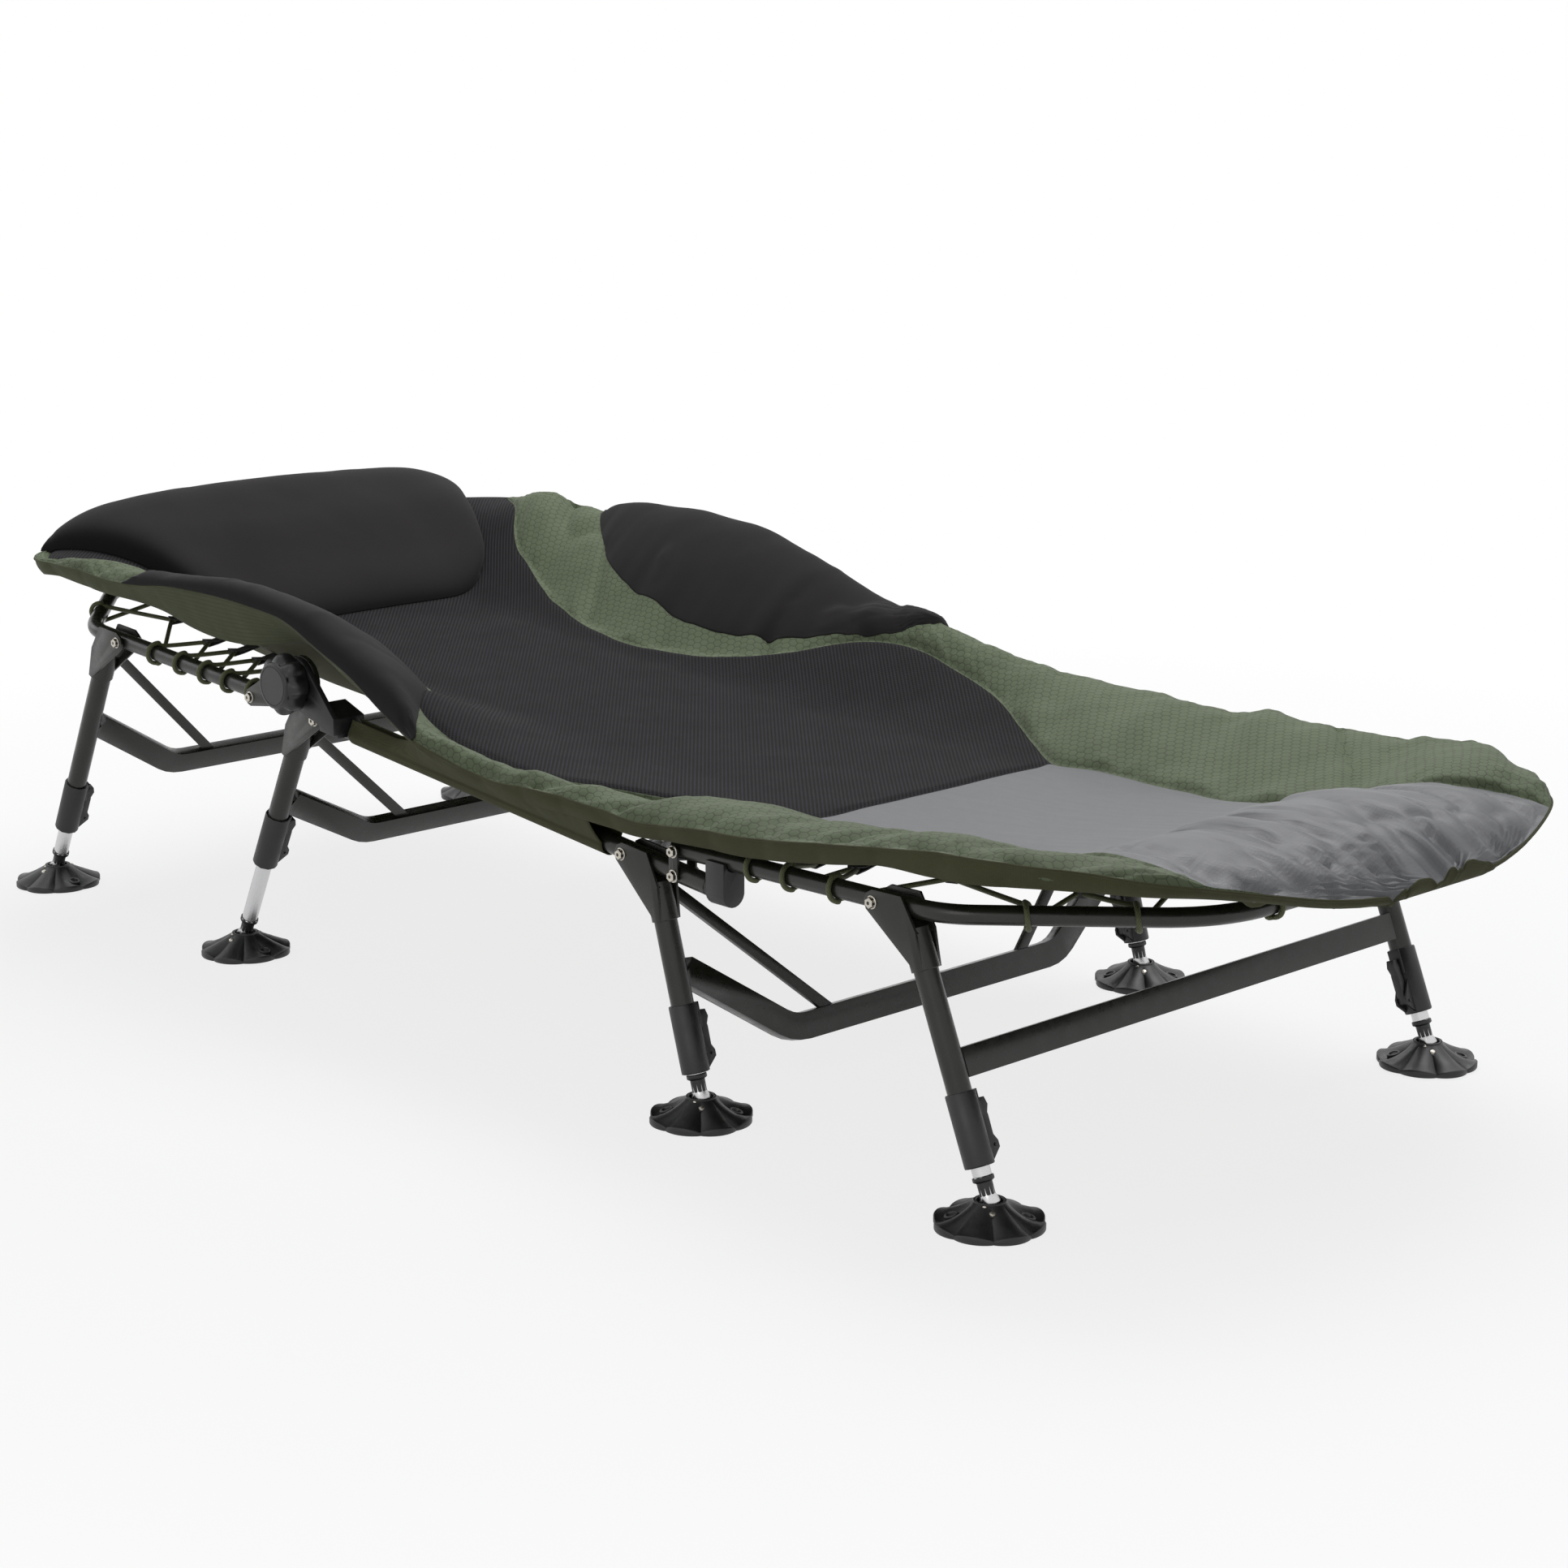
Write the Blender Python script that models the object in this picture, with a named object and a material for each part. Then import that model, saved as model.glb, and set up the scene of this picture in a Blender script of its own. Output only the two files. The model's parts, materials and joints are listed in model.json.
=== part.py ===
"""Folding fishing bedchair: three hinged frame sections on four pairs of telescopic legs, with a laced-in mattress.

Metres, +Z up. +X runs from the head to the foot, -Y is the sleeper's right, and the floor is z = 0.
The origin is on the floor, under the middle of the bed.
"""

import math
from collections import namedtuple

import bmesh
import bpy
from mathutils import Matrix, Vector

# Frame tubes
RAIL_Y = 0.360
SEAT_RAIL_RADIUS = 0.011
END_RAIL_RADIUS = 0.010
RAIL_WALL = 0.0015
TUBE_SIDES = 10

# Seat section. Its rails slope down towards the foot, and their height is the one at the head-side leg's bolt.
SEAT_RAIL_HEIGHT = 0.331
SEAT_RAIL_SLOPE = -0.0991
RAIL_SLEEVE_HEAD_X = -0.261
RAIL_SLEEVE_FOOT_X = 0.197
RAIL_SLEEVE_THICKNESS = 0.0024

# Back section
RECLINE_X = -0.341
RECLINE_RISE = 0.0457
BACK_BOLT_REACH = 0.108
BACK_BOLT_DROP = 0.036
BACK_RAIL_SLOPE = -0.0671
BACK_CORNER_X = -0.843
BACK_CORNER_LENGTH = 0.100
BACK_CORNER_INSET = 0.098
BACK_CORNER_RADIUS = 0.060
BACK_END_RISE = 0.0295

# Foot section
FOOT_HINGE_X = 0.315
FOOT_HINGE_GAP = 0.0057
FOOT_RAIL_SLOPE = 0.0202
FOOT_CORNER_X = 0.694
FOOT_CORNER_LENGTH = 0.197
FOOT_CORNER_INSET = 0.188
FOOT_CORNER_RADIUS = 0.080
FOOT_END_RADIUS = 0.150
FOOT_FOLD = math.radians(110)
RAIL_STUB = 0.010

# Saddle that the foot rail rests in
SADDLE_GAP = 0.052
SADDLE_LENGTH = 0.028
SADDLE_WALL = 0.0042
SADDLE_BASE = 0.004
SADDLE_SOCKET = 0.010

# Legs, numbered from the head. x is the bolt's place, lean is in degrees, and shown is how much of the inner
# leg shows below its clamp. The crossbar's ends are bar above the clamp, and its middle is dip below its ends.
LEG_1_X = -0.762
LEG_1_LEAN = 25.9
LEG_1_SHOWN = 0.04035
LEG_1_BAR = 0.0949
LEG_1_DIP = 0.0885
LEG_2_X = -0.328
LEG_2_LEAN = 26.1
LEG_2_SHOWN = 0.08802
LEG_2_BAR = 0.0197
LEG_2_DIP = 0.0758
LEG_3_X = 0.232
LEG_3_LEAN = 16.4
LEG_3_SHOWN = 0.00168
LEG_3_BAR = 0.0354
LEG_3_DIP = 0.0938
LEG_4_X = 0.612
LEG_4_LEAN = 22.5
LEG_4_SHOWN = 0.0100
LEG_4_BAR = 0.0270
LEG_4_DIP = 0.0
BRACKET_OFFSET = 0.034
LEG_RADIUS = 0.0125
LEG_TOP = 0.036
LEG_CROWN = 0.008
SOCKET_WALL = 0.0021
SOCKET_LENGTH = 0.042
EAR_THICKNESS = 0.003
EAR_GAP = 0.001
EAR_RADIUS = 0.0115
EAR_RISE = 0.013
STOP_START = 0.017
STOP_END = 0.046
BOLT_RADIUS = 0.003
BOLT_HEAD_RADIUS = 0.0058
BOLT_HEAD_LENGTH = 0.0045
BAR_HEIGHT = 0.030
BAR_DEPTH = 0.015
BAR_SLOPE_RUN = 0.145
BAR_BEND_RADIUS = 0.060
BRACE_WIDTH = 0.013
BRACE_DEPTH = 0.006
BRACE_TOP = 0.043
BRACE_RUN = 0.205
BRACE_SINK = 0.005

# Telescopic inner legs, which are as long as the shortest leg has room for, and their cam clamps
INNER_LEG_RADIUS = 0.0095
INNER_LEG_WALL = 0.0014
INNER_LEG_ROOM = 0.0217
FLANGE_RADIUS = 0.011
FLANGE_THICKNESS = 0.004
STEM_RADIUS = 0.008
STEM_LENGTH = 0.0225
PLUG_LENGTH = 0.010
CLAMP_WALL = 0.0028
CLAMP_LENGTH = 0.074
CLAMP_GRIP = 0.045
PIVOT_HEIGHT = 0.016
PIVOT_OFFSET = 0.0050
PIVOT_RADIUS = 0.0017
CHEEK_THICKNESS = 0.0026
CHEEK_RADIUS = 0.0065
LEVER_WIDTH = 0.0096
LEVER_LENGTH = 0.048
LEVER_EYE_RADIUS = 0.0044

# Mud feet
BALL_HEIGHT = 0.024
BALL_RADIUS = 0.0113
BALL_CLEARANCE = 0.0016
CUP_WALL = 0.0031
CUP_LIP = 0.003
MUD_FOOT_RADIUS = 0.0565
MUD_FOOT_RIM = 0.008
MUD_FOOT_CROWN = 0.018
PLEATS = 8
PLEAT_DEPTH = 0.004
FOOT_PIN_RADIUS = 0.002

# Recliners
PLATE_CLEARANCE = 0.0055
PLATE_THICKNESS = 0.007
HUB_RADIUS = 0.031
HUB_GAP = 0.001
HUB_BLOCK_REACH = 0.038
HUB_BLOCK_LENGTH = 0.037
AXLE_RADIUS = 0.0045
AXLE_LENGTH = 0.014
KNOB_RADIUS = 0.0375
KNOB_LENGTH = 0.032
KNOB_GAP = 0.0006
KNOB_LOBES = 8
KNOB_LOBE_DEPTH = 0.0055
KNOB_CAP_RADIUS = 0.0265

# Mattress, pillow and side bolsters
MATTRESS_HEAD_X = -1.007
MATTRESS_FOOT_X = 1.020
MATTRESS_OVERHANG = 0.040
MATTRESS_THICKNESS = 0.036
MATTRESS_EDGE_THICKNESS = 0.020
HEAD_ROUNDING = 0.130
FOOT_ROUNDING = 0.295
SECTION_GAP = 0.004
HUB_CLEARANCE = 0.025
HUB_CUTOUT = 0.090
PILLOW_FRONT_X = -0.725
PILLOW_HEAD_HALF_WIDTH = 0.335
PILLOW_FRONT_HALF_WIDTH = 0.245
PILLOW_THICKNESS = 0.062
BOLSTER_HEAD_X = -0.697
BOLSTER_FOOT_X = -0.108
BOLSTER_WIDTH = 0.150
BOLSTER_THICKNESS = 0.050
CUSHION_GAP = 0.007

# Elastic lacing: how far along each frame's tube, from its hinge end, the cord goes round it
CORD_RADIUS = 0.0028
BACK_WRAPS = (0.066, 0.120, 0.170, 0.225, 0.285, 0.490, 0.655)
FOOT_WRAPS = (0.122, 0.176, 0.244, 0.468, 0.575, 0.725)
TAB_INSET = 0.058
LACING_GAP = 0.0005

# Clearances between pieces
TOUCH = 0.0004
RUNNING = 0.0005

# The four pairs of legs. side is -1 for a pair that leans towards the head and +1 for one towards the foot.
Leg = namedtuple("Leg", "number x side lean shown bar dip")
LEGS = (
    Leg(1, LEG_1_X, -1, LEG_1_LEAN, LEG_1_SHOWN, LEG_1_BAR, LEG_1_DIP),
    Leg(2, LEG_2_X, -1, LEG_2_LEAN, LEG_2_SHOWN, LEG_2_BAR, LEG_2_DIP),
    Leg(3, LEG_3_X, 1, LEG_3_LEAN, LEG_3_SHOWN, LEG_3_BAR, LEG_3_DIP),
    Leg(4, LEG_4_X, 1, LEG_4_LEAN, LEG_4_SHOWN, LEG_4_BAR, LEG_4_DIP),
)

# The mattress's upper surface, as (x, rise above the seat rail's height), along its middle and its edges
MIDDLE_LINE = (
    (-1.007, 0.126),
    (-0.940, 0.122),
    (-0.860, 0.087),
    (-0.780, 0.042),
    (-0.690, 0.020),
    (-0.550, 0.009),
    (-0.395, -0.002),
    (-0.245, -0.012),
    (0.045, -0.025),
    (0.345, -0.031),
    (0.545, -0.023),
    (0.685, 0.002),
    (0.805, 0.027),
    (0.905, 0.037),
    (1.020, 0.030),
)
EDGE_LINE = (
    (-1.007, 0.136),
    (-0.905, 0.137),
    (-0.825, 0.136),
    (-0.750, 0.131),
    (-0.665, 0.119),
    (-0.575, 0.099),
    (-0.495, 0.076),
    (-0.415, 0.056),
    (-0.341, 0.045),
    (-0.195, 0.029),
    (0.045, 0.012),
    (0.225, 0.007),
    (0.345, 0.006),
    (0.495, 0.016),
    (0.665, 0.029),
    (0.845, 0.036),
    (1.020, 0.030),
)
# The outer edge of a bolster's underside, as (x, rise above the seat rail's height)
BOLSTER_UNDERSIDE = ((-0.697, 0.114), (-0.535, 0.098), (-0.341, 0.101), (-0.235, 0.067), (-0.108, 0.024))


def clear_scene():
    for item in list(bpy.data.objects):
        bpy.data.objects.remove(item, do_unlink=True)


def material(name, colour, roughness, metallic=0.0):
    """A plain surface for one kind of piece."""
    made = bpy.data.materials.new(name)
    made.use_nodes = True
    surface = made.node_tree.nodes["Principled BSDF"]
    surface.inputs["Base Color"].default_value = (*colour, 1.0)
    surface.inputs["Roughness"].default_value = roughness
    surface.inputs["Metallic"].default_value = metallic
    made.diffuse_color = (*colour, 1.0)
    return made


# Meshes

def mesh_of(corners, faces):
    """A closed mesh whose faces all point outwards."""
    mesh = bpy.data.meshes.new("shape")
    mesh.from_pydata([tuple(corner) for corner in corners], [], faces)
    work = bmesh.new()
    work.from_mesh(mesh)
    bmesh.ops.recalc_face_normals(work, faces=work.faces)
    work.to_mesh(mesh)
    work.free()
    return mesh


def ring_faces(first, second, count):
    """Quads between two rings of the same number of corners."""
    return [
        (first + i, first + (i + 1) % count, second + (i + 1) % count, second + i)
        for i in range(count)
    ]


def circle(radius, sides=TUBE_SIDES):
    """The corners of a round profile."""
    turn = 2 * math.pi / sides
    return [(radius * math.cos((i + 0.5) * turn), radius * math.sin((i + 0.5) * turn)) for i in range(sides)]


def bore(radius, clearance, sides=TUBE_SIDES):
    """A round profile whose flats clear a round piece of the given radius."""
    return (radius + clearance) / math.cos(math.pi / sides)


def rectangle(across, high):
    return [(across / 2, high / 2), (-across / 2, high / 2), (-across / 2, -high / 2), (across / 2, -high / 2)]


def sweep(path, profile, hollow=None, normal=Vector((0, 0, 1))):
    """Carries a profile along a path, square to it. hollow is the profile of a bore open at both ends."""
    corners = []
    starts = []
    for shape in [profile] + ([hollow] if hollow else []):
        for i, point in enumerate(path):
            before = path[max(i - 1, 0)]
            after = path[min(i + 1, len(path) - 1)]
            along = (after - before).normalized()
            side = along.cross(normal).normalized()
            up = side.cross(along)
            starts.append(len(corners))
            corners += [point + side * a + up * b for a, b in shape]
    count = len(profile)
    runs = len(path)
    faces = []
    for i in range(runs - 1):
        faces += ring_faces(starts[i], starts[i + 1], count)
    if hollow:
        for i in range(runs, 2 * runs - 1):
            faces += ring_faces(starts[i], starts[i + 1], count)
        faces += ring_faces(starts[0], starts[runs], count)
        faces += ring_faces(starts[runs - 1], starts[-1], count)
    else:
        faces.append(tuple(range(count)))
        faces.append(tuple(range(starts[-1], starts[-1] + count)))
    return mesh_of(corners, faces)


def turned(rings, sides=TUBE_SIDES):
    """Turns (radius, height) rings about Z. A ring of four values has radius and height of crests, then valleys."""
    corners = []
    faces = []
    starts = []
    for ring in rings:
        starts.append(len(corners))
        if ring[0] == 0:
            corners.append((0, 0, ring[1]))
            continue
        for i in range(sides):
            radius, height = ring[:2] if len(ring) == 2 or i % 2 == 0 else ring[2:]
            angle = 2 * math.pi * (i + 0.5) / sides
            corners.append((radius * math.cos(angle), radius * math.sin(angle), height))
    for (first, second), (low, high) in zip(zip(starts, starts[1:]), zip(rings, rings[1:])):
        if low[0] == 0:
            faces += [(first, second + i, second + (i + 1) % sides) for i in range(sides)]
        elif high[0] == 0:
            faces += [(first + i, first + (i + 1) % sides, second) for i in range(sides)]
        else:
            faces += ring_faces(first, second, sides)
    if rings[0][0] != 0:
        faces += ring_faces(starts[-1], starts[0], sides)
    return mesh_of(corners, faces)


def hull(points):
    """The smallest convex solid round the points."""
    work = bmesh.new()
    for point in points:
        work.verts.new(point)
    made = bmesh.ops.convex_hull(work, input=work.verts)
    spare = {part for part in made["geom_interior"] + made["geom_unused"] if isinstance(part, bmesh.types.BMVert)}
    bmesh.ops.delete(work, geom=list(spare), context="VERTS")
    bmesh.ops.recalc_face_normals(work, faces=work.faces)
    mesh = bpy.data.meshes.new("shape")
    work.to_mesh(mesh)
    work.free()
    return mesh


def plate(outline, low, high):
    """A convex plate in the XZ plane, between two values of Y."""
    return hull([(x, y, z) for x, z in outline for y in (low, high)])


def disc(x, z, radius, sides=8):
    """Outline points round a place in the XZ plane."""
    return [(x + a, z + b) for a, b in circle(radius, sides)]


def box(low, high):
    return hull([(x, y, z) for x in (low[0], high[0]) for y in (low[1], high[1]) for z in (low[2], high[2])])


def rod(start, end, radius, sides=6):
    return sweep([Vector(start), Vector(end)], circle(radius, sides))


def cross_rod(x, z, start, end, radius, sides=6):
    """A rod along Y."""
    return rod((x, start, z), (x, end, z), radius, sides)


def boolean(base, others, operation):
    """Joins the other meshes to the base, or cuts them from it."""
    operands = bpy.data.collections.new("operands")
    bpy.context.scene.collection.children.link(operands)
    for other in others:
        operands.objects.link(bpy.data.objects.new("operand", other))
    work = bpy.data.objects.new("work", base)
    bpy.context.scene.collection.objects.link(work)
    join = work.modifiers.new("join", "BOOLEAN")
    join.operation = operation
    join.operand_type = "COLLECTION"
    join.collection = operands
    graph = bpy.context.evaluated_depsgraph_get()
    result = bpy.data.meshes.new_from_object(work.evaluated_get(graph))
    for item in [work, *operands.objects]:
        bpy.data.objects.remove(item, do_unlink=True)
    bpy.data.collections.remove(operands)
    result.materials.clear()
    return result


def joined(*meshes):
    return boolean(meshes[0], meshes[1:], "UNION")


def cut(mesh, *cutters):
    return boolean(mesh, cutters, "DIFFERENCE")


# Objects

def piece(name, mesh, surface, at=Matrix(), parent=None):
    """One named piece. Its origin is at the given place, and its mesh is in that place's own axes."""
    item = bpy.data.objects.new(name, mesh)
    if not mesh.materials:
        mesh.materials.append(surface)
    mesh.shade_smooth()
    mesh.set_sharp_from_angle(angle=math.radians(38))
    bpy.context.scene.collection.objects.link(item)
    item.matrix_world = at
    if parent:
        item.parent = parent
        item.matrix_parent_inverse = parent.matrix_world.inverted()
    bpy.context.view_layer.update()
    return item


def carried(name, mesh, surface, section):
    """A piece of a folding section, drawn in the bed's axes, with its origin on that section's hinge."""
    mesh.transform(section.matrix_world.inverted())
    return piece(name, mesh, surface, section.matrix_world.copy(), section)


def hinge_mark(name, x, z):
    """An empty on a hinge's axis, which carries the pieces that turn about it."""
    mark = bpy.data.objects.new(name, None)
    bpy.context.scene.collection.objects.link(mark)
    mark.matrix_world = Matrix.Translation((x, 0, z))
    bpy.context.view_layer.update()
    return mark


# Lines and curves

def through(points, x):
    """The height at x of a smooth line through (x, height) points."""
    i = sum(1 for point in points[1:-1] if point[0] <= x)
    (x0, h0), (x1, h1) = points[i], points[i + 1]
    before = points[max(i - 1, 0)]
    after = points[min(i + 2, len(points) - 1)]
    rise0 = (h1 - before[1]) / (x1 - before[0]) * (x1 - x0)
    rise1 = (after[1] - h0) / (after[0] - x0) * (x1 - x0)
    s = min(max((x - x0) / (x1 - x0), 0.0), 1.0)
    ends = (2 * s**3 - 3 * s**2 + 1) * h0 + (3 * s**2 - 2 * s**3) * h1
    return ends + (s**3 - 2 * s**2 + s) * rise0 + (s**3 - s**2) * rise1


def smoothstep(s):
    s = min(max(s, 0.0), 1.0)
    return s * s * (3 - 2 * s)


def rounded(points, radii, steps=3):
    """A path with each inner corner replaced by an arc of the radius given for it."""
    path = [points[0]]
    for before, corner, after, radius in zip(points, points[1:], points[2:], radii):
        back = (before - corner).normalized()
        ahead = (after - corner).normalized()
        half = back.angle(ahead) / 2
        centre = corner + (back + ahead).normalized() * radius / math.sin(half)
        start = corner + back * radius / math.tan(half) - centre
        turn = math.pi - 2 * half
        axis = start.cross(ahead).normalized()
        path += [centre + Matrix.Rotation(turn * i / steps, 3, axis) @ start for i in range(steps + 1)]
    return path + [points[-1]]


def both_sides(half):
    """A path that stops short of the centreline, continued by its mirror image across it."""
    other = [Vector((point.x, -point.y, point.z)) for point in reversed(half)]
    return list(half) + other


def seat_rail_z(x):
    return SEAT_RAIL_HEIGHT + SEAT_RAIL_SLOPE * (x - LEG_2_X)


RECLINE_Z = seat_rail_z(RECLINE_X) + RECLINE_RISE
SEAT_RAIL_HEAD_X = RECLINE_X - 0.012
BACK_BOLT_X = RECLINE_X - BACK_BOLT_REACH
BACK_BOLT_Z = RECLINE_Z - BACK_BOLT_DROP
BACK_RAIL_END_X = BACK_BOLT_X + 0.043
FOOT_HINGE_Z = seat_rail_z(FOOT_HINGE_X) + SEAT_RAIL_RADIUS + END_RAIL_RADIUS + FOOT_HINGE_GAP
SADDLE_X = FOOT_HINGE_X + SADDLE_GAP
SEAT_RAIL_FOOT_X = SADDLE_X + SADDLE_SOCKET
MATTRESS_HALF_WIDTH = RAIL_Y + MATTRESS_OVERHANG


def back_rail_z(x):
    return BACK_BOLT_Z + BACK_RAIL_SLOPE * (x - BACK_BOLT_X)


def foot_rail_z(x):
    return FOOT_HINGE_Z + FOOT_RAIL_SLOPE * (x - FOOT_HINGE_X)


RAIL_HEIGHTS = {1: back_rail_z, 2: seat_rail_z, 3: seat_rail_z, 4: foot_rail_z}
RAIL_SLOPES = {1: BACK_RAIL_SLOPE, 2: SEAT_RAIL_SLOPE, 3: SEAT_RAIL_SLOPE, 4: FOOT_RAIL_SLOPE}
RAIL_RADII = {1: END_RAIL_RADIUS, 2: SEAT_RAIL_RADIUS, 3: SEAT_RAIL_RADIUS, 4: END_RAIL_RADIUS}


def bolt_z(leg):
    return RAIL_HEIGHTS[leg.number](leg.x)


def ball_drop(leg):
    """How far down the leg its foot's ball is, from the bolt."""
    lean = math.radians(leg.lean)
    return (bolt_z(leg) + math.sin(lean) * BRACKET_OFFSET - BALL_HEIGHT) / math.cos(lean)


def clamp_drop(leg):
    """How far down the leg its clamp's upper end is, from the bolt."""
    return ball_drop(leg) - STEM_LENGTH - FLANGE_THICKNESS - leg.shown - CLAMP_LENGTH


def bar_drop(leg):
    """How far down the leg its crossbar's ends are, from the bolt."""
    return clamp_drop(leg) - leg.bar


def back_rail_path():
    """The back frame's tube, from its right end at the recliner round the head to the left."""
    corner_z = back_rail_z(BACK_CORNER_X)
    end_x = BACK_CORNER_X - BACK_CORNER_LENGTH
    end_y = RAIL_Y - BACK_CORNER_INSET
    end_z = corner_z + BACK_END_RISE
    points = [
        Vector((BACK_RAIL_END_X, -RAIL_Y, back_rail_z(BACK_RAIL_END_X))),
        Vector((BACK_CORNER_X, -RAIL_Y, corner_z)),
        Vector((end_x, -end_y, end_z)),
        Vector((end_x, 0, end_z)),
    ]
    return both_sides(rounded(points, (BACK_CORNER_RADIUS, BACK_CORNER_RADIUS), 2)[:-1])


def foot_rail_path():
    """The foot frame's tube, from its right end at the hinge round the foot to the left."""
    corner_z = foot_rail_z(FOOT_CORNER_X)
    end_x = FOOT_CORNER_X + FOOT_CORNER_LENGTH
    end_y = RAIL_Y - FOOT_CORNER_INSET
    start_x = FOOT_HINGE_X - RAIL_STUB
    points = [
        Vector((start_x, -RAIL_Y, foot_rail_z(start_x))),
        Vector((FOOT_CORNER_X, -RAIL_Y, corner_z)),
        Vector((end_x, -end_y, corner_z)),
        Vector((end_x, 0, corner_z)),
    ]
    return both_sides(rounded(points, (FOOT_CORNER_RADIUS, FOOT_END_RADIUS))[:-1])


# Frame sections

def rail_tube(path, radius, holes, sides):
    """A tube along a path, with a bolt hole across it at each (x, z) place on the given sides."""
    tube = sweep(path, circle(radius), circle(radius - RAIL_WALL))
    reach = 2 * radius
    drills = [
        cross_rod(x, z, side * RAIL_Y - reach, side * RAIL_Y + reach, bore(BOLT_RADIUS, RUNNING, 6))
        for x, z in holes
        for side in sides
    ]
    return cut(tube, *drills)


def bolt(x, z, start, end):
    """A bolt along Y, with a hexagonal head against each of the two faces that it clamps."""
    sunk = 0.0005
    out = math.copysign(1, end - start)
    return [
        cross_rod(x, z, start, end, BOLT_RADIUS),
        cross_rod(x, z, start + out * sunk, start - out * BOLT_HEAD_LENGTH, BOLT_HEAD_RADIUS),
        cross_rod(x, z, end - out * sunk, end + out * BOLT_HEAD_LENGTH, BOLT_HEAD_RADIUS),
    ]


def build_seat_rails(paint):
    holes = [(leg.x, bolt_z(leg)) for leg in LEGS[1:3]] + [(FOOT_HINGE_X, seat_rail_z(FOOT_HINGE_X))]
    for name, side in SIDES:
        ends = [Vector((x, side * RAIL_Y, seat_rail_z(x))) for x in (SEAT_RAIL_HEAD_X, SEAT_RAIL_FOOT_X)]
        piece(f"seat_rail_{name}", rail_tube(ends, SEAT_RAIL_RADIUS, holes, (side,)), paint)


def build_rail_sleeves(cloth):
    """The fabric sleeve round each seat rail."""
    inner = bore(SEAT_RAIL_RADIUS, TOUCH)
    outer = inner + RAIL_SLEEVE_THICKNESS
    for name, side in SIDES:
        ends = [Vector((x, side * RAIL_Y, seat_rail_z(x))) for x in (RAIL_SLEEVE_HEAD_X, RAIL_SLEEVE_FOOT_X)]
        piece(f"rail_sleeve_{name}", sweep(ends, circle(outer), circle(inner)), cloth)


def build_hinge_plates(paint):
    """The two plates on each side that hold the foot frame's pivot above the seat rail."""
    plate_radius = 0.0075
    thickness = 0.0026
    low_z = seat_rail_z(FOOT_HINGE_X)
    inner = SEAT_RAIL_RADIUS + RUNNING
    outer = inner + thickness
    outline = disc(FOOT_HINGE_X, FOOT_HINGE_Z, plate_radius) + disc(FOOT_HINGE_X, low_z, plate_radius)
    for name, side in SIDES:
        y = side * RAIL_Y
        plates = [plate(outline, y + out * inner, y + out * outer) for out in (-1, 1)]
        upper = bolt(FOOT_HINGE_X, FOOT_HINGE_Z, y - outer, y + outer)
        lower = bolt(FOOT_HINGE_X, low_z, y - outer, y + outer)
        piece(f"foot_hinge_plate_{name}", joined(*plates, *upper, *lower), paint)


def build_saddles(plastic):
    """The block on each seat rail's foot end that the foot rail rests in."""
    end = SADDLE_X + SADDLE_LENGTH
    half_width = SEAT_RAIL_RADIUS + SADDLE_WALL
    past = 0.01
    groove = bore(END_RAIL_RADIUS, RUNNING)
    for name, side in SIDES:
        y = side * RAIL_Y
        low_z = seat_rail_z(SEAT_RAIL_FOOT_X) - SEAT_RAIL_RADIUS - SADDLE_BASE
        round_z = low_z + half_width
        under = [(a, round_z + b) for a, b in circle(half_width, 20)]
        top = [(-half_width, foot_rail_z(end)), (half_width, foot_rail_z(end))]
        body = hull([(x, y + a, z) for x in (SADDLE_X, end) for a, z in under + top])
        profile = circle(groove) + [(-groove, 2 * groove), (groove, 2 * groove)]
        seat = hull([(x, y + a, foot_rail_z(x) + b) for x in (SADDLE_X - past, end + past) for a, b in profile])
        socket_ends = [
            Vector((x, y, seat_rail_z(x))) for x in (SADDLE_X - past, SEAT_RAIL_FOOT_X + RUNNING)
        ]
        socket = sweep(socket_ends, circle(bore(SEAT_RAIL_RADIUS, TOUCH)))
        piece(f"foot_rail_saddle_{name}", cut(body, seat, socket), plastic)


# Recliners

PLATE_INNER = RAIL_Y + SEAT_RAIL_RADIUS + PLATE_CLEARANCE
PLATE_OUTER = PLATE_INNER + PLATE_THICKNESS
HUB_INNER = PLATE_OUTER + HUB_GAP
HUB_OUTER = HUB_INNER + PLATE_THICKNESS
KNOB_INNER = HUB_OUTER + KNOB_GAP


def plate_mesh(side):
    """The back rail's plate, with the bolt that fixes it and the hole for the hub's axle."""
    near = RAIL_Y + END_RAIL_RADIUS + TOUCH
    far = RAIL_Y - END_RAIL_RADIUS - TOUCH
    arm_radius = 0.011
    boss_radius = 0.009
    sunk = 0.001
    outline = disc(RECLINE_X, RECLINE_Z, HUB_RADIUS, 20) + disc(BACK_BOLT_X, BACK_BOLT_Z, arm_radius, TUBE_SIDES)
    arm = plate(outline, side * PLATE_INNER, side * PLATE_OUTER)
    boss = cross_rod(
        BACK_BOLT_X, BACK_BOLT_Z, side * near, side * (PLATE_INNER + sunk), boss_radius, TUBE_SIDES
    )
    fixing = bolt(BACK_BOLT_X, BACK_BOLT_Z, side * far, side * PLATE_OUTER)
    hole = cross_rod(
        RECLINE_X,
        RECLINE_Z,
        side * (PLATE_INNER - sunk),
        side * (PLATE_OUTER + sunk),
        bore(AXLE_RADIUS, RUNNING),
        TUBE_SIDES,
    )
    return cut(joined(arm, boss, *fixing), hole)


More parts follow.
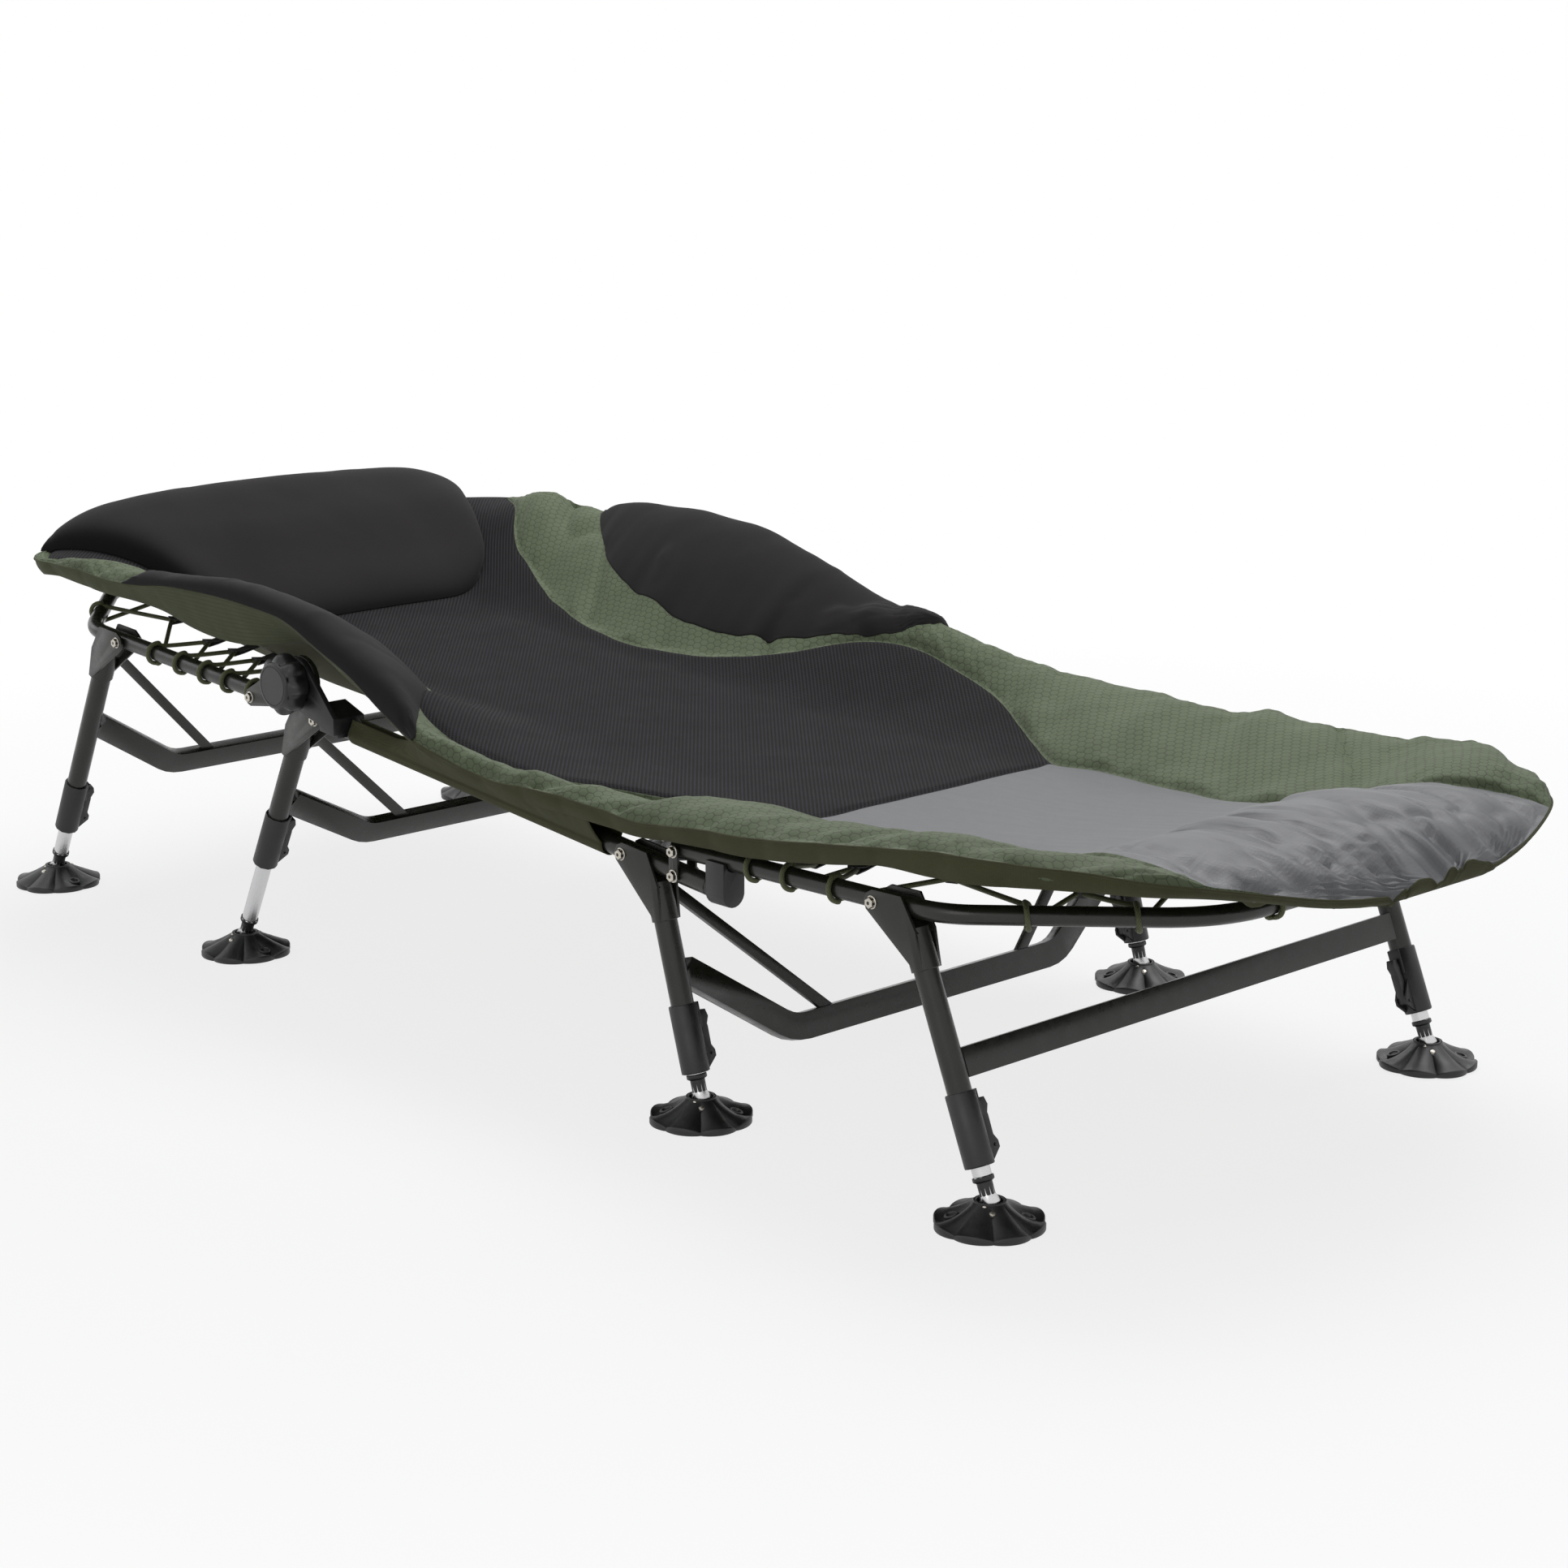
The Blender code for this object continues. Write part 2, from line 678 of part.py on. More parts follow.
def hub_mesh(side):
    """The seat rail's half of the recliner: a saddle on the rail, a disc and the axle."""
    start = RECLINE_X + HUB_BLOCK_REACH
    end = start + HUB_BLOCK_LENGTH
    wall = 0.009
    inner = RAIL_Y - SEAT_RAIL_RADIUS - 0.002
    below = 0.004
    sunk = 0.001
    disc_outline = disc(RECLINE_X, RECLINE_Z, HUB_RADIUS, 20) + [
        (start, RECLINE_Z),
        (end, seat_rail_z(end) + SEAT_RAIL_RADIUS + wall),
        (end, seat_rail_z(end)),
    ]
    block_outline = [
        (start, seat_rail_z(start) - below),
        (end, seat_rail_z(end) - below),
        (end, seat_rail_z(end) + SEAT_RAIL_RADIUS + wall),
        (start, seat_rail_z(start) + SEAT_RAIL_RADIUS + 2 * wall),
    ]
    block = plate(block_outline, side * inner, side * (HUB_INNER + sunk))
    ends = [Vector((x, side * RAIL_Y, seat_rail_z(x))) for x in (start - 2 * wall, end + 2 * wall)]
    rail_space = sweep(ends, circle(bore(SEAT_RAIL_RADIUS, TOUCH)))
    axle = cross_rod(
        RECLINE_X, RECLINE_Z, side * PLATE_INNER, side * (KNOB_INNER + AXLE_LENGTH), AXLE_RADIUS, TUBE_SIDES
    )
    face = plate(disc_outline, side * HUB_INNER, side * HUB_OUTER)
    return joined(cut(block, rail_space), face, axle)


def knob_mesh():
    """A lobed hand knob along Z, open at its inner end for the axle."""
    sides = 4 * KNOB_LOBES
    bore_radius = bore(AXLE_RADIUS, RUNNING)
    bore_depth = AXLE_LENGTH + 4 * RUNNING

    def lobed(radius, height, share):
        ring = []
        for i in range(sides):
            angle = 2 * math.pi * i / sides
            hollow = ((1 - math.cos(KNOB_LOBES * angle)) / 2) ** 1.5
            here = radius - KNOB_LOBE_DEPTH * share * hollow
            ring.append((here * math.cos(angle), here * math.sin(angle), height))
        return ring

    rings = [
        lobed(bore_radius, bore_depth, 0),
        lobed(bore_radius, 0, 0),
        lobed(KNOB_RADIUS * 0.80, 0, 0.3),
        lobed(KNOB_RADIUS, KNOB_LENGTH * 0.35, 1),
        lobed(KNOB_RADIUS * 0.95, KNOB_LENGTH * 0.68, 1),
        lobed(KNOB_CAP_RADIUS * 1.06, KNOB_LENGTH * 0.92, 0),
        lobed(KNOB_CAP_RADIUS, KNOB_LENGTH, 0),
    ]
    corners = [corner for ring in rings for corner in ring]
    faces = []
    for i in range(len(rings) - 1):
        faces += ring_faces(i * sides, (i + 1) * sides, sides)
    faces.append(tuple(range(sides)))
    faces.append(tuple(range(len(corners) - sides, len(corners))))
    return mesh_of(corners, faces)


def build_recliners(back, paint, plastic):
    """On each side a plate on the back rail, a hub on the seat rail and the knob that clamps them."""
    knob = knob_mesh()
    for name, side in SIDES:
        carried(f"recliner_plate_{name}", plate_mesh(side), paint, back)
        piece(f"recliner_hub_{name}", hub_mesh(side), plastic)
        outwards = Matrix.Rotation(side * -math.pi / 2, 4, "X")
        place = Matrix.Translation((RECLINE_X, side * KNOB_INNER, RECLINE_Z)) @ outwards
        piece(f"recline_knob_{name}", knob, plastic, place)


# Legs

def leg_place(leg, y=0.0):
    """The axes of a leg frame: X outwards from the middle of the bed, Z up along the leg, origin on the bolt."""
    lean = math.radians(leg.lean)
    up = Vector((-leg.side * math.sin(lean), 0, math.cos(lean)))
    out = Vector((leg.side * math.cos(lean), 0, math.sin(lean)))
    turn = Matrix((out, up.cross(out), up)).transposed().to_4x4()
    return Matrix.Translation((leg.x, y, bolt_z(leg))) @ turn


def down_leg(y, start, end, profile):
    """A bar down one leg, between two distances from the bolt."""
    ends = [Vector((BRACKET_OFFSET, y, -start)), Vector((BRACKET_OFFSET, y, -end))]
    return sweep(ends, profile, normal=Vector((0, 1, 0)))


def bracket_meshes(leg, y):
    """One leg's steel bracket: two ears astride the rail, a socket, a stop block under the rail and the bolt."""
    lean = math.radians(leg.lean)
    pitch = math.atan(RAIL_SLOPES[leg.number] * leg.side)
    along = Vector((math.cos(lean - pitch), -math.sin(lean - pitch)))
    above = Vector((-along.y, along.x))
    socket_radius = LEG_RADIUS + SOCKET_WALL
    socket_end = LEG_TOP + SOCKET_LENGTH
    inner = SEAT_RAIL_RADIUS + EAR_GAP
    outer = inner + EAR_THICKNESS
    tip = along * (STOP_END - 0.006) + above * EAR_RISE
    outline = disc(0, 0, EAR_RADIUS) + [
        tuple(above * EAR_RISE),
        tuple(tip),
        (BRACKET_OFFSET + socket_radius, -LEG_TOP - 0.004),
        (BRACKET_OFFSET + socket_radius / 2, -socket_end),
        (BRACKET_OFFSET, -socket_end),
    ]
    ears = [plate(outline, y + out * inner, y + out * outer) for out in (-1, 1)]
    below_rail = RAIL_RADII[leg.number] + TOUCH
    stop_depth = 0.006
    sunk = 0.001
    stop_outline = [
        tuple(along * STOP_START - above * below_rail),
        tuple(along * STOP_END - above * below_rail),
        (BRACKET_OFFSET + LEG_RADIUS, -LEG_TOP - stop_depth),
        (BRACKET_OFFSET - LEG_RADIUS, -LEG_TOP - stop_depth),
    ]
    stop = plate(stop_outline, y - inner - sunk, y + inner + sunk)
    socket = down_leg(y, LEG_TOP, socket_end, circle(socket_radius))
    return [*ears, stop, socket, *bolt(0, 0, y - outer, y + outer)]


def crossbar_mesh(leg):
    """The flat tube between the two legs. It is bent down to its middle where that is lower than its ends."""
    sunk = 0.001
    reach = RAIL_Y - LEG_RADIUS + sunk
    middle = bar_drop(leg) + leg.dip
    half = [Vector((BRACKET_OFFSET, -reach, -bar_drop(leg)))]
    if leg.dip:
        bend = Vector((BRACKET_OFFSET, -RAIL_Y + BAR_SLOPE_RUN, -middle))
        half = rounded([half[0], bend, Vector((BRACKET_OFFSET, 0, -middle))], (BAR_BEND_RADIUS,))[:-1]
    return sweep(both_sides(half), rectangle(BAR_HEIGHT, BAR_DEPTH), normal=Vector((1, 0, 0)))


def brace_mesh(leg, side):
    """The flat brace from the top of a leg down to the crossbar."""
    sunk = 0.001
    top = Vector((BRACKET_OFFSET, side * (RAIL_Y - LEG_RADIUS + sunk), -BRACE_TOP))
    bar_top = bar_drop(leg) + leg.dip - BAR_HEIGHT / 2
    low = Vector((BRACKET_OFFSET, side * (RAIL_Y - BRACE_RUN), -bar_top - BRACE_SINK))
    return sweep([top, low], rectangle(BRACE_WIDTH, BRACE_DEPTH), normal=Vector((1, 0, 0)))


def build_leg_frame(leg, parent, paint):
    tube_end = clamp_drop(leg) + CLAMP_GRIP
    bore_top = LEG_TOP + LEG_CROWN
    parts = [crossbar_mesh(leg)]
    bores = []
    for _, side in SIDES:
        y = side * RAIL_Y
        parts.append(down_leg(y, LEG_TOP, tube_end, circle(LEG_RADIUS)))
        parts += bracket_meshes(leg, y)
        if leg.dip:
            parts.append(brace_mesh(leg, side))
        bores.append(down_leg(y, bore_top, tube_end + 0.01, circle(bore(INNER_LEG_RADIUS, RUNNING))))
    return piece(f"leg_frame_{leg.number}", cut(joined(*parts), *bores), paint, leg_place(leg), parent)


def clamp_mesh():
    """The plastic clamp along Z, with its lower end at the origin and its lever's cheeks towards +Y."""
    small = bore(INNER_LEG_RADIUS, RUNNING)
    large = bore(LEG_RADIUS, TOUCH)
    radius = LEG_RADIUS + CLAMP_WALL
    step = CLAMP_LENGTH - CLAMP_GRIP - TOUCH
    profile = [(small, 0), (radius, 0), (radius, CLAMP_LENGTH), (large, CLAMP_LENGTH), (large, step), (small, step)]
    pivot_y = radius + PIVOT_OFFSET
    root_y = radius - 0.002
    inner = LEVER_WIDTH / 2 + RUNNING
    outer = inner + CHEEK_THICKNESS
    cheek = [(pivot_y + a, PIVOT_HEIGHT + b) for a, b in circle(CHEEK_RADIUS, 6)]
    cheek += [(root_y, PIVOT_HEIGHT - 0.014), (root_y, PIVOT_HEIGHT + 0.024)]
    cheeks = [hull([(side * x, y, z) for y, z in cheek for x in (inner, outer)]) for side in (-1, 1)]
    rest = box((-outer, root_y, CLAMP_LENGTH - 0.027), (outer, radius + TOUCH, CLAMP_LENGTH))
    pin_end = outer + PIVOT_RADIUS
    pin = rod((-pin_end, pivot_y, PIVOT_HEIGHT), (pin_end, pivot_y, PIVOT_HEIGHT), PIVOT_RADIUS)
    return joined(turned(profile), *cheeks, rest, pin)


def lever_mesh():
    """The cam lever, with its pivot along X through the origin and its arm up along the leg."""
    half = LEVER_WIDTH / 2
    back = LEVER_EYE_RADIUS - PIVOT_OFFSET - 0.0030
    reach = LEVER_LENGTH
    arm = circle(LEVER_EYE_RADIUS, 8) + [
        (back, 0.17 * reach),
        (0.0045, 0.62 * reach),
        (back, 0.87 * reach),
        (0.0020, 0.87 * reach),
    ]
    tab = [(back, 0.70 * reach), (0.0022, 0.58 * reach), (0.0050, reach), (-0.0010, reach), (0.0075, 0.83 * reach)]
    bodies = [hull([(x, y, z) for y, z in outline for x in (-half, half)]) for outline in (arm, tab)]
    past = half + 0.002
    hole = rod((-past, 0, 0), (past, 0, 0), bore(PIVOT_RADIUS, TOUCH, 6))
    return cut(joined(*bodies), hole)


def inner_leg_mesh():
    """The sliding leg along Z: a ball for the foot, a stem, a flange and an open tube."""
    ball = [(BALL_RADIUS * math.cos(math.radians(a)), BALL_RADIUS * math.sin(math.radians(a))) for a in (-50, 0)]
    shoulder = math.sqrt(BALL_RADIUS**2 - STEM_RADIUS**2)
    tube_start = STEM_LENGTH + FLANGE_THICKNESS
    top = min(ball_drop(leg) for leg in LEGS) - LEG_TOP - LEG_CROWN - INNER_LEG_ROOM
    tube_bore = INNER_LEG_RADIUS - INNER_LEG_WALL
    profile = [
        (0, -BALL_RADIUS),
        *ball,
        (STEM_RADIUS, shoulder),
        (STEM_RADIUS, STEM_LENGTH),
        (FLANGE_RADIUS, STEM_LENGTH),
        (FLANGE_RADIUS, tube_start),
        (INNER_LEG_RADIUS, tube_start),
        (INNER_LEG_RADIUS, top),
        (tube_bore, top),
        (tube_bore, tube_start + PLUG_LENGTH),
        (0, tube_start + PLUG_LENGTH),
    ]
    reach = 2 * BALL_RADIUS
    hole = cross_rod(0, 0, -reach, reach, bore(FOOT_PIN_RADIUS, RUNNING, 6))
    return cut(turned(profile), hole)


def mud_foot_mesh():
    """The pleated foot, whose cup holds the leg's ball at the origin, and the pin across it."""
    sides = 2 * PLEATS
    pocket = bore(BALL_RADIUS, BALL_CLEARANCE, sides)
    cup = BALL_RADIUS + BALL_CLEARANCE + CUP_WALL
    floor = -BALL_HEIGHT
    turn = math.radians(-50)
    crown_radius = MUD_FOOT_RADIUS * 0.62
    valley_radius = MUD_FOOT_RADIUS - PLEAT_DEPTH
    rings = [
        (0, -pocket),
        (pocket * math.cos(turn), pocket * math.sin(turn)),
        (pocket, 0),
        (pocket, CUP_LIP),
        (cup, CUP_LIP),
        (cup, floor + MUD_FOOT_CROWN),
        (crown_radius, floor + MUD_FOOT_CROWN, crown_radius, floor + MUD_FOOT_CROWN - PLEAT_DEPTH),
        (MUD_FOOT_RADIUS, floor + MUD_FOOT_RIM, valley_radius, floor + MUD_FOOT_RIM - PLEAT_DEPTH),
        (MUD_FOOT_RADIUS, floor, valley_radius, floor),
        (0, floor),
    ]
    pin_end = cup + FOOT_PIN_RADIUS
    return joined(turned(rings, sides), cross_rod(0, 0, -pin_end, pin_end, FOOT_PIN_RADIUS))


def build_legs(parents, paint, plastic, bare_metal):
    clamp = clamp_mesh()
    lever = lever_mesh()
    inner_leg = inner_leg_mesh()
    foot = mud_foot_mesh()
    pivot_y = LEG_RADIUS + CLAMP_WALL + PIVOT_OFFSET
    for leg in LEGS:
        frame = build_leg_frame(leg, parents[leg.number], paint)
        for name, side in SIDES:
            label = f"{leg.number}_{name}"
            # The clamp's lever faces the middle of the bed
            top = leg_place(leg, side * RAIL_Y) @ Matrix.Translation((BRACKET_OFFSET, 0, 0))
            if side * top.col[1].y > 0:
                top = top @ Matrix.Rotation(math.pi, 4, "Z")
            clamp_place = top @ Matrix.Translation((0, 0, -clamp_drop(leg) - CLAMP_LENGTH))
            lever_place = clamp_place @ Matrix.Translation((0, pivot_y, PIVOT_HEIGHT))
            ball_place = top @ Matrix.Translation((0, 0, -ball_drop(leg)))
            piece(f"leg_clamp_{label}", clamp, plastic, clamp_place, frame)
            piece(f"clamp_lever_{label}", lever, plastic, lever_place, frame)
            slider = piece(f"inner_leg_{label}", inner_leg, bare_metal, ball_place, frame)
            piece(f"mud_foot_{label}", foot, plastic, Matrix.Translation(ball_place.translation), slider)


# Mattress, pillow and bolsters

def half_width(x):
    """Half the mattress's width: rounded at both ends, and drawn in beside the recliners."""
    past = 0.004
    foot = max((x - MATTRESS_FOOT_X + FOOT_ROUNDING) / (FOOT_ROUNDING + past), 0)
    head = max((MATTRESS_HEAD_X + HEAD_ROUNDING - x) / (HEAD_ROUNDING + 8 * past), 0)
    width = MATTRESS_HALF_WIDTH * (1 - foot**2.3) ** (1 / 2.3) * (1 - head**2.4) ** (1 / 2.4)
    near_hub = 1 - smoothstep((abs(x - RECLINE_X) - HUB_CUTOUT) / 0.045)
    return width - near_hub * (MATTRESS_OVERHANG + HUB_CLEARANCE)


def mattress_top(x, y):
    share = smoothstep((abs(y) / MATTRESS_HALF_WIDTH - 0.36) / 0.62)
    return SEAT_RAIL_HEIGHT + through(MIDDLE_LINE, x) * (1 - share) + through(EDGE_LINE, x) * share


def mattress_bottom(x, y):
    share = smoothstep((abs(y) / MATTRESS_HALF_WIDTH - 0.30) / 0.55)
    return mattress_top(x, y) - MATTRESS_THICKNESS * (1 - share) - MATTRESS_EDGE_THICKNESS * share


def cushion(rows, columns, top, bottom):
    """A closed solid between two surfaces, each given by shares along and across, joined round their rims."""
    corners = []
    for surface in (top, bottom):
        for i in range(rows + 1):
            corners += [surface(i / rows, j / columns) for j in range(columns + 1)]
    size = (rows + 1) * (columns + 1)
    rim = [(i, 0) for i in range(rows)] + [(rows, j) for j in range(columns)]
    rim += [(i, columns) for i in range(rows, 0, -1)] + [(0, j) for j in range(columns, 0, -1)]
    faces = []
    for start in (0, size):
        for i in range(rows):
            for j in range(columns):
                first = start + i * (columns + 1) + j
                faces.append((first, first + 1, first + columns + 2, first + columns + 1))
    numbers = [i * (columns + 1) + j for i, j in rim]
    for first, second in zip(numbers, numbers[1:] + numbers[:1]):
        faces.append((first, second, size + second, size + first))
    return mesh_of(corners, faces)


def mattress_panel(head_x, foot_x, rows=11, columns=10):
    """The mattress between two places. At the foot hinge its edge is cut back, so that the bed can fold."""
    slope = math.tan(FOOT_FOLD / 2)
    drawn_in = 0.004

    def end_x(x, y, height):
        if abs(x - FOOT_HINGE_X) > 2 * SECTION_GAP:
            return x
        above = max(height(FOOT_HINGE_X, y) - FOOT_HINGE_Z, 0)
        return x + math.copysign(above * slope, x - FOOT_HINGE_X)

    def surface(height, upper):
        def at(s, t):
            share = 2 * t - 1
            across = 0.35 * math.sin(share * math.pi / 2) + 0.65 * share
            edge = MATTRESS_HALF_WIDTH * across
            low = end_x(head_x, edge, height)
            high = end_x(foot_x, edge, height)
            x = low + (high - low) * s
            y = (half_width(x) - (drawn_in if upper else 0)) * across
            return (x, y, height(x, y))
        return at

    return cushion(rows, columns, surface(mattress_top, True), surface(mattress_bottom, False))


def pillow_mesh():
    """The pillow's crown rises from the front edge to the head end."""
    def point(s, t, crown):
        x = MATTRESS_HEAD_X + (PILLOW_FRONT_X - MATTRESS_HEAD_X) * s
        width = PILLOW_HEAD_HALF_WIDTH + (PILLOW_FRONT_HALF_WIDTH - PILLOW_HEAD_HALF_WIDTH) * s
        corner = 1 - 0.12 * max(s - 0.8, 0) / 0.2
        y = width * corner * (2 * t - 1)
        swell = math.sin(math.pi * (0.12 + 0.84 * s)) ** 0.4 * math.sin(math.pi * (0.05 + 0.9 * t)) ** 0.5
        return (x, y, mattress_top(x, y) + CUSHION_GAP + PILLOW_THICKNESS * swell * crown)

    return cushion(8, 10, lambda s, t: point(s, t, 1), lambda s, t: point(s, t, 0))


def bolster_mesh(side):
    """The padded side bolster, which follows the mattress's raised edge over the recliner."""
    def point(s, t, crown):
        x = BOLSTER_HEAD_X + (BOLSTER_FOOT_X - BOLSTER_HEAD_X) * s
        swell = math.sin(math.pi * (0.03 + 0.94 * s)) ** 0.6
        inner = MATTRESS_HALF_WIDTH - BOLSTER_WIDTH * swell
        y = inner + (MATTRESS_HALF_WIDTH + 0.006 - inner) * t
        low = mattress_top(x, inner) + CUSHION_GAP
        outer_z = SEAT_RAIL_HEIGHT + through(BOLSTER_UNDERSIDE, x)
        high = max(outer_z, mattress_top(x, MATTRESS_HALF_WIDTH) + CUSHION_GAP)
        z = max(low + (high - low) * t, mattress_top(x, y) + CUSHION_GAP)
        pad = BOLSTER_THICKNESS * swell * (1 - (1 - t) ** 3) * (1 - 0.75 * t**6)
        return (x, side * y, z + (0.004 + pad) * crown)

    return cushion(12, 5, lambda s, t: point(s, t, 1), lambda s, t: point(s, t, 0))


# Elastic lacing

def along_path(path, distance):
    """The place and the direction at a distance along a path."""
    for start, end in zip(path, path[1:]):
        length = (end - start).length
        if distance <= length:
            return start + (end - start) * (distance / length), (end - start).normalized()
        distance -= length
    return path[-1], (path[-1] - path[-2]).normalized()


def lacing_points(path, wraps):
    """The cord's route: round the tube at each wrap, and through the mattress's tab between two wraps."""
    whole = sum((end - start).length for start, end in zip(path, path[1:]))
    turns = (50, 115, 180, 245, 310)
    half_step = math.radians((turns[1] - turns[0]) / 2)
    loop = (END_RAIL_RADIUS + CORD_RADIUS + LACING_GAP) / math.cos(half_step)
    lead = 0.004
    end_tab = 0.012
    middle = sum(path, Vector()) / len(path)
    marks = []
    for distance in list(wraps) + [whole - distance for distance in reversed(wraps)]:
        centre, along = along_path(path, distance)
        inward = Vector((0, 0, 1)).cross(along).normalized()
        if inward.dot(middle - centre) < 0:
            inward.negate()
        marks.append((centre, along, inward))

    def tab(one, other):
        place = (one[0] + other[0]) / 2 + (one[2] + other[2]).normalized() * TAB_INSET
        place.z = min(mattress_bottom(place.x, place.y) - 3 * CORD_RADIUS, place.z + TAB_INSET / 5)
        return place

    first = (marks[0][0] + marks[0][1] * end_tab, marks[0][1], marks[0][2])
    last = (marks[-1][0] - marks[-1][1] * end_tab, marks[-1][1], marks[-1][2])
    points = [tab(first, marks[0])]
    for mark, following in zip(marks, marks[1:] + [last]):
        centre, along, inward = mark
        for turn in turns:
            angle = math.radians(turn)
            offset = inward * math.cos(angle) + Vector((0, 0, 1)) * math.sin(angle)
            points.append(centre + offset * loop + along * lead * (turn / 180 - 1))
        points.append(tab(mark, following))
    return points


def build_lacing(name, path, wraps, cord, section):
    curve = bpy.data.curves.new(name, "CURVE")
    curve.dimensions = "3D"
    curve.bevel_depth = CORD_RADIUS
    curve.bevel_resolution = 1
    curve.use_fill_caps = True
    points = lacing_points(path, wraps)
    line = curve.splines.new("POLY")
    line.points.add(len(points) - 1)
    origin = section.matrix_world.translation
    for spot, point in zip(line.points, points):
        spot.co = (*(point - origin), 1.0)
    curve.materials.append(cord)
    item = bpy.data.objects.new(name, curve)
    bpy.context.scene.collection.objects.link(item)
    item.parent = section


SIDES = (("right", -1), ("left", 1))


def main():
    clear_scene()
    paint = material("green_black_paint", (0.020, 0.026, 0.022), 0.35)
    plastic = material("black_plastic", (0.016, 0.016, 0.018), 0.50)
    bare_metal = material("satin_metal", (0.72, 0.72, 0.72), 0.28, 1.0)
    green = material("green_fabric", (0.085, 0.130, 0.060), 0.85)
    black = material("black_fabric", (0.014, 0.014, 0.016), 0.90)
    air_mesh = material("black_air_mesh", (0.018, 0.018, 0.022), 0.88)
    grey = material("grey_nylon", (0.095, 0.105, 0.115), 0.50)
    cord = material("olive_cord", (0.110, 0.120, 0.045), 0.75)

    back = hinge_mark("back_section", RECLINE_X, RECLINE_Z)
    foot = hinge_mark("foot_section", FOOT_HINGE_X, FOOT_HINGE_Z)

    build_seat_rails(paint)
    build_rail_sleeves(green)
    build_hinge_plates(paint)
    build_saddles(plastic)

    both = (-1, 1)
    back_path = back_rail_path()
    back_holes = [(BACK_BOLT_X, BACK_BOLT_Z), (LEGS[0].x, bolt_z(LEGS[0]))]
    carried("back_frame", rail_tube(back_path, END_RAIL_RADIUS, back_holes, both), paint, back)
    foot_path = foot_rail_path()
    foot_holes = [(FOOT_HINGE_X, FOOT_HINGE_Z), (LEGS[3].x, bolt_z(LEGS[3]))]
    carried("foot_frame", rail_tube(foot_path, END_RAIL_RADIUS, foot_holes, both), paint, foot)

    build_recliners(back, paint, plastic)
    build_legs({1: back, 2: None, 3: None, 4: foot}, paint, plastic, bare_metal)

    carried("mattress_back", mattress_panel(MATTRESS_HEAD_X, RECLINE_X - SECTION_GAP), green, back)
    piece("mattress_seat", mattress_panel(RECLINE_X + SECTION_GAP, FOOT_HINGE_X - SECTION_GAP), air_mesh)
    carried("mattress_foot", mattress_panel(FOOT_HINGE_X + SECTION_GAP, MATTRESS_FOOT_X), grey, foot)
    carried("pillow", pillow_mesh(), black, back)
    for name, side in SIDES:
        carried(f"side_bolster_{name}", bolster_mesh(side), black, back)

    build_lacing("back_lacing", back_path, BACK_WRAPS, cord, back)
    build_lacing("foot_lacing", foot_path, FOOT_WRAPS, cord, foot)


main()
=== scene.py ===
"""The dressed fishing bedchair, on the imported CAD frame.

Metres, +Z up. +X runs from the head to the foot, -Y is the sleeper's right, and the floor is z = 0.
"""

import json
import math

import bpy
import numpy as np
from mathutils import Euler, Matrix, Vector


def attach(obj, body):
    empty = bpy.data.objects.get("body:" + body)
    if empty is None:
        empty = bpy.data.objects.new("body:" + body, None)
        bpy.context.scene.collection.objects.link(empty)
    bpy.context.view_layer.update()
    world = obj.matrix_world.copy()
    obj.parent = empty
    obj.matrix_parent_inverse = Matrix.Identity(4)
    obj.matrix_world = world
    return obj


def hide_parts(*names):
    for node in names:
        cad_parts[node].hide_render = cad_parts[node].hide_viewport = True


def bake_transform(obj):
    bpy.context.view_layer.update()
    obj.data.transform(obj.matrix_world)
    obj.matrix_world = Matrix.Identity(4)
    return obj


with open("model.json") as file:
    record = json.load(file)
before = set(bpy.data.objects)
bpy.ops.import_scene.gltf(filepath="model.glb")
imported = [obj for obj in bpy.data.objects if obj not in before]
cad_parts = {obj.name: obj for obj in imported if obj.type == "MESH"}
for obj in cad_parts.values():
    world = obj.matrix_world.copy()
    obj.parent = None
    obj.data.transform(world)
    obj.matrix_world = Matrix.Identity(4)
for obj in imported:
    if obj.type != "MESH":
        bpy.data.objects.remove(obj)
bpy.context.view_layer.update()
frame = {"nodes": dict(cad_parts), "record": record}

NODES = frame["nodes"]
JOINTS = {joint["name"]: joint for joint in frame["record"]["behaviour"]["joints"]}
SIDES = (("right", -1), ("left", 1))
LEG_NUMBERS = (1, 2, 3, 4)
UP = Vector((0, 0, 1))

# Sizes of the frame, as in the CAD
RAIL_Y = 0.36
SEAT_RAIL_RADIUS = 0.011
END_RAIL_RADIUS = 0.01
SEAT_RAIL_SLOPE = -0.0991
BACK_RAIL_SLOPE = -0.0671
FOOT_RAIL_SLOPE = 0.0202
BRACKET_OFFSET = 0.034
LEG_RADIUS = 0.0125
LEG_TOP = 0.036
SOCKET_LENGTH = 0.042
SOCKET_WALL = 0.0021
INNER_LEG_RADIUS = 0.0095
STEM_RADIUS = 0.008
STEM_LENGTH = 0.0225
FLANGE_RADIUS = 0.011
FLANGE_THICKNESS = 0.004
CLAMP_LENGTH = 0.074
CLAMP_RADIUS = 0.0153
BALL_HEIGHT = 0.024
CORD_RADIUS = 0.0028

# The camera, solved from the photograph, in degrees and millimetres of lens
CAMERA_PLACE = (2.7678, -2.5292, 1.1624)
CAMERA_AZIMUTH = 46.643
CAMERA_ELEVATION = 13.696
CAMERA_LENS = 73.69


def joint_place(name):
    return Vector(JOINTS[name]["pos_m"])


RECLINE = joint_place("recline")
FOOT_HINGE = joint_place("foot_section_fold")
BOLTS = {number: joint_place(f"leg_pair_{number}_fold") for number in LEG_NUMBERS}
BACK_BOLT = Vector((RECLINE.x - 0.108, 0, RECLINE.z - 0.036))


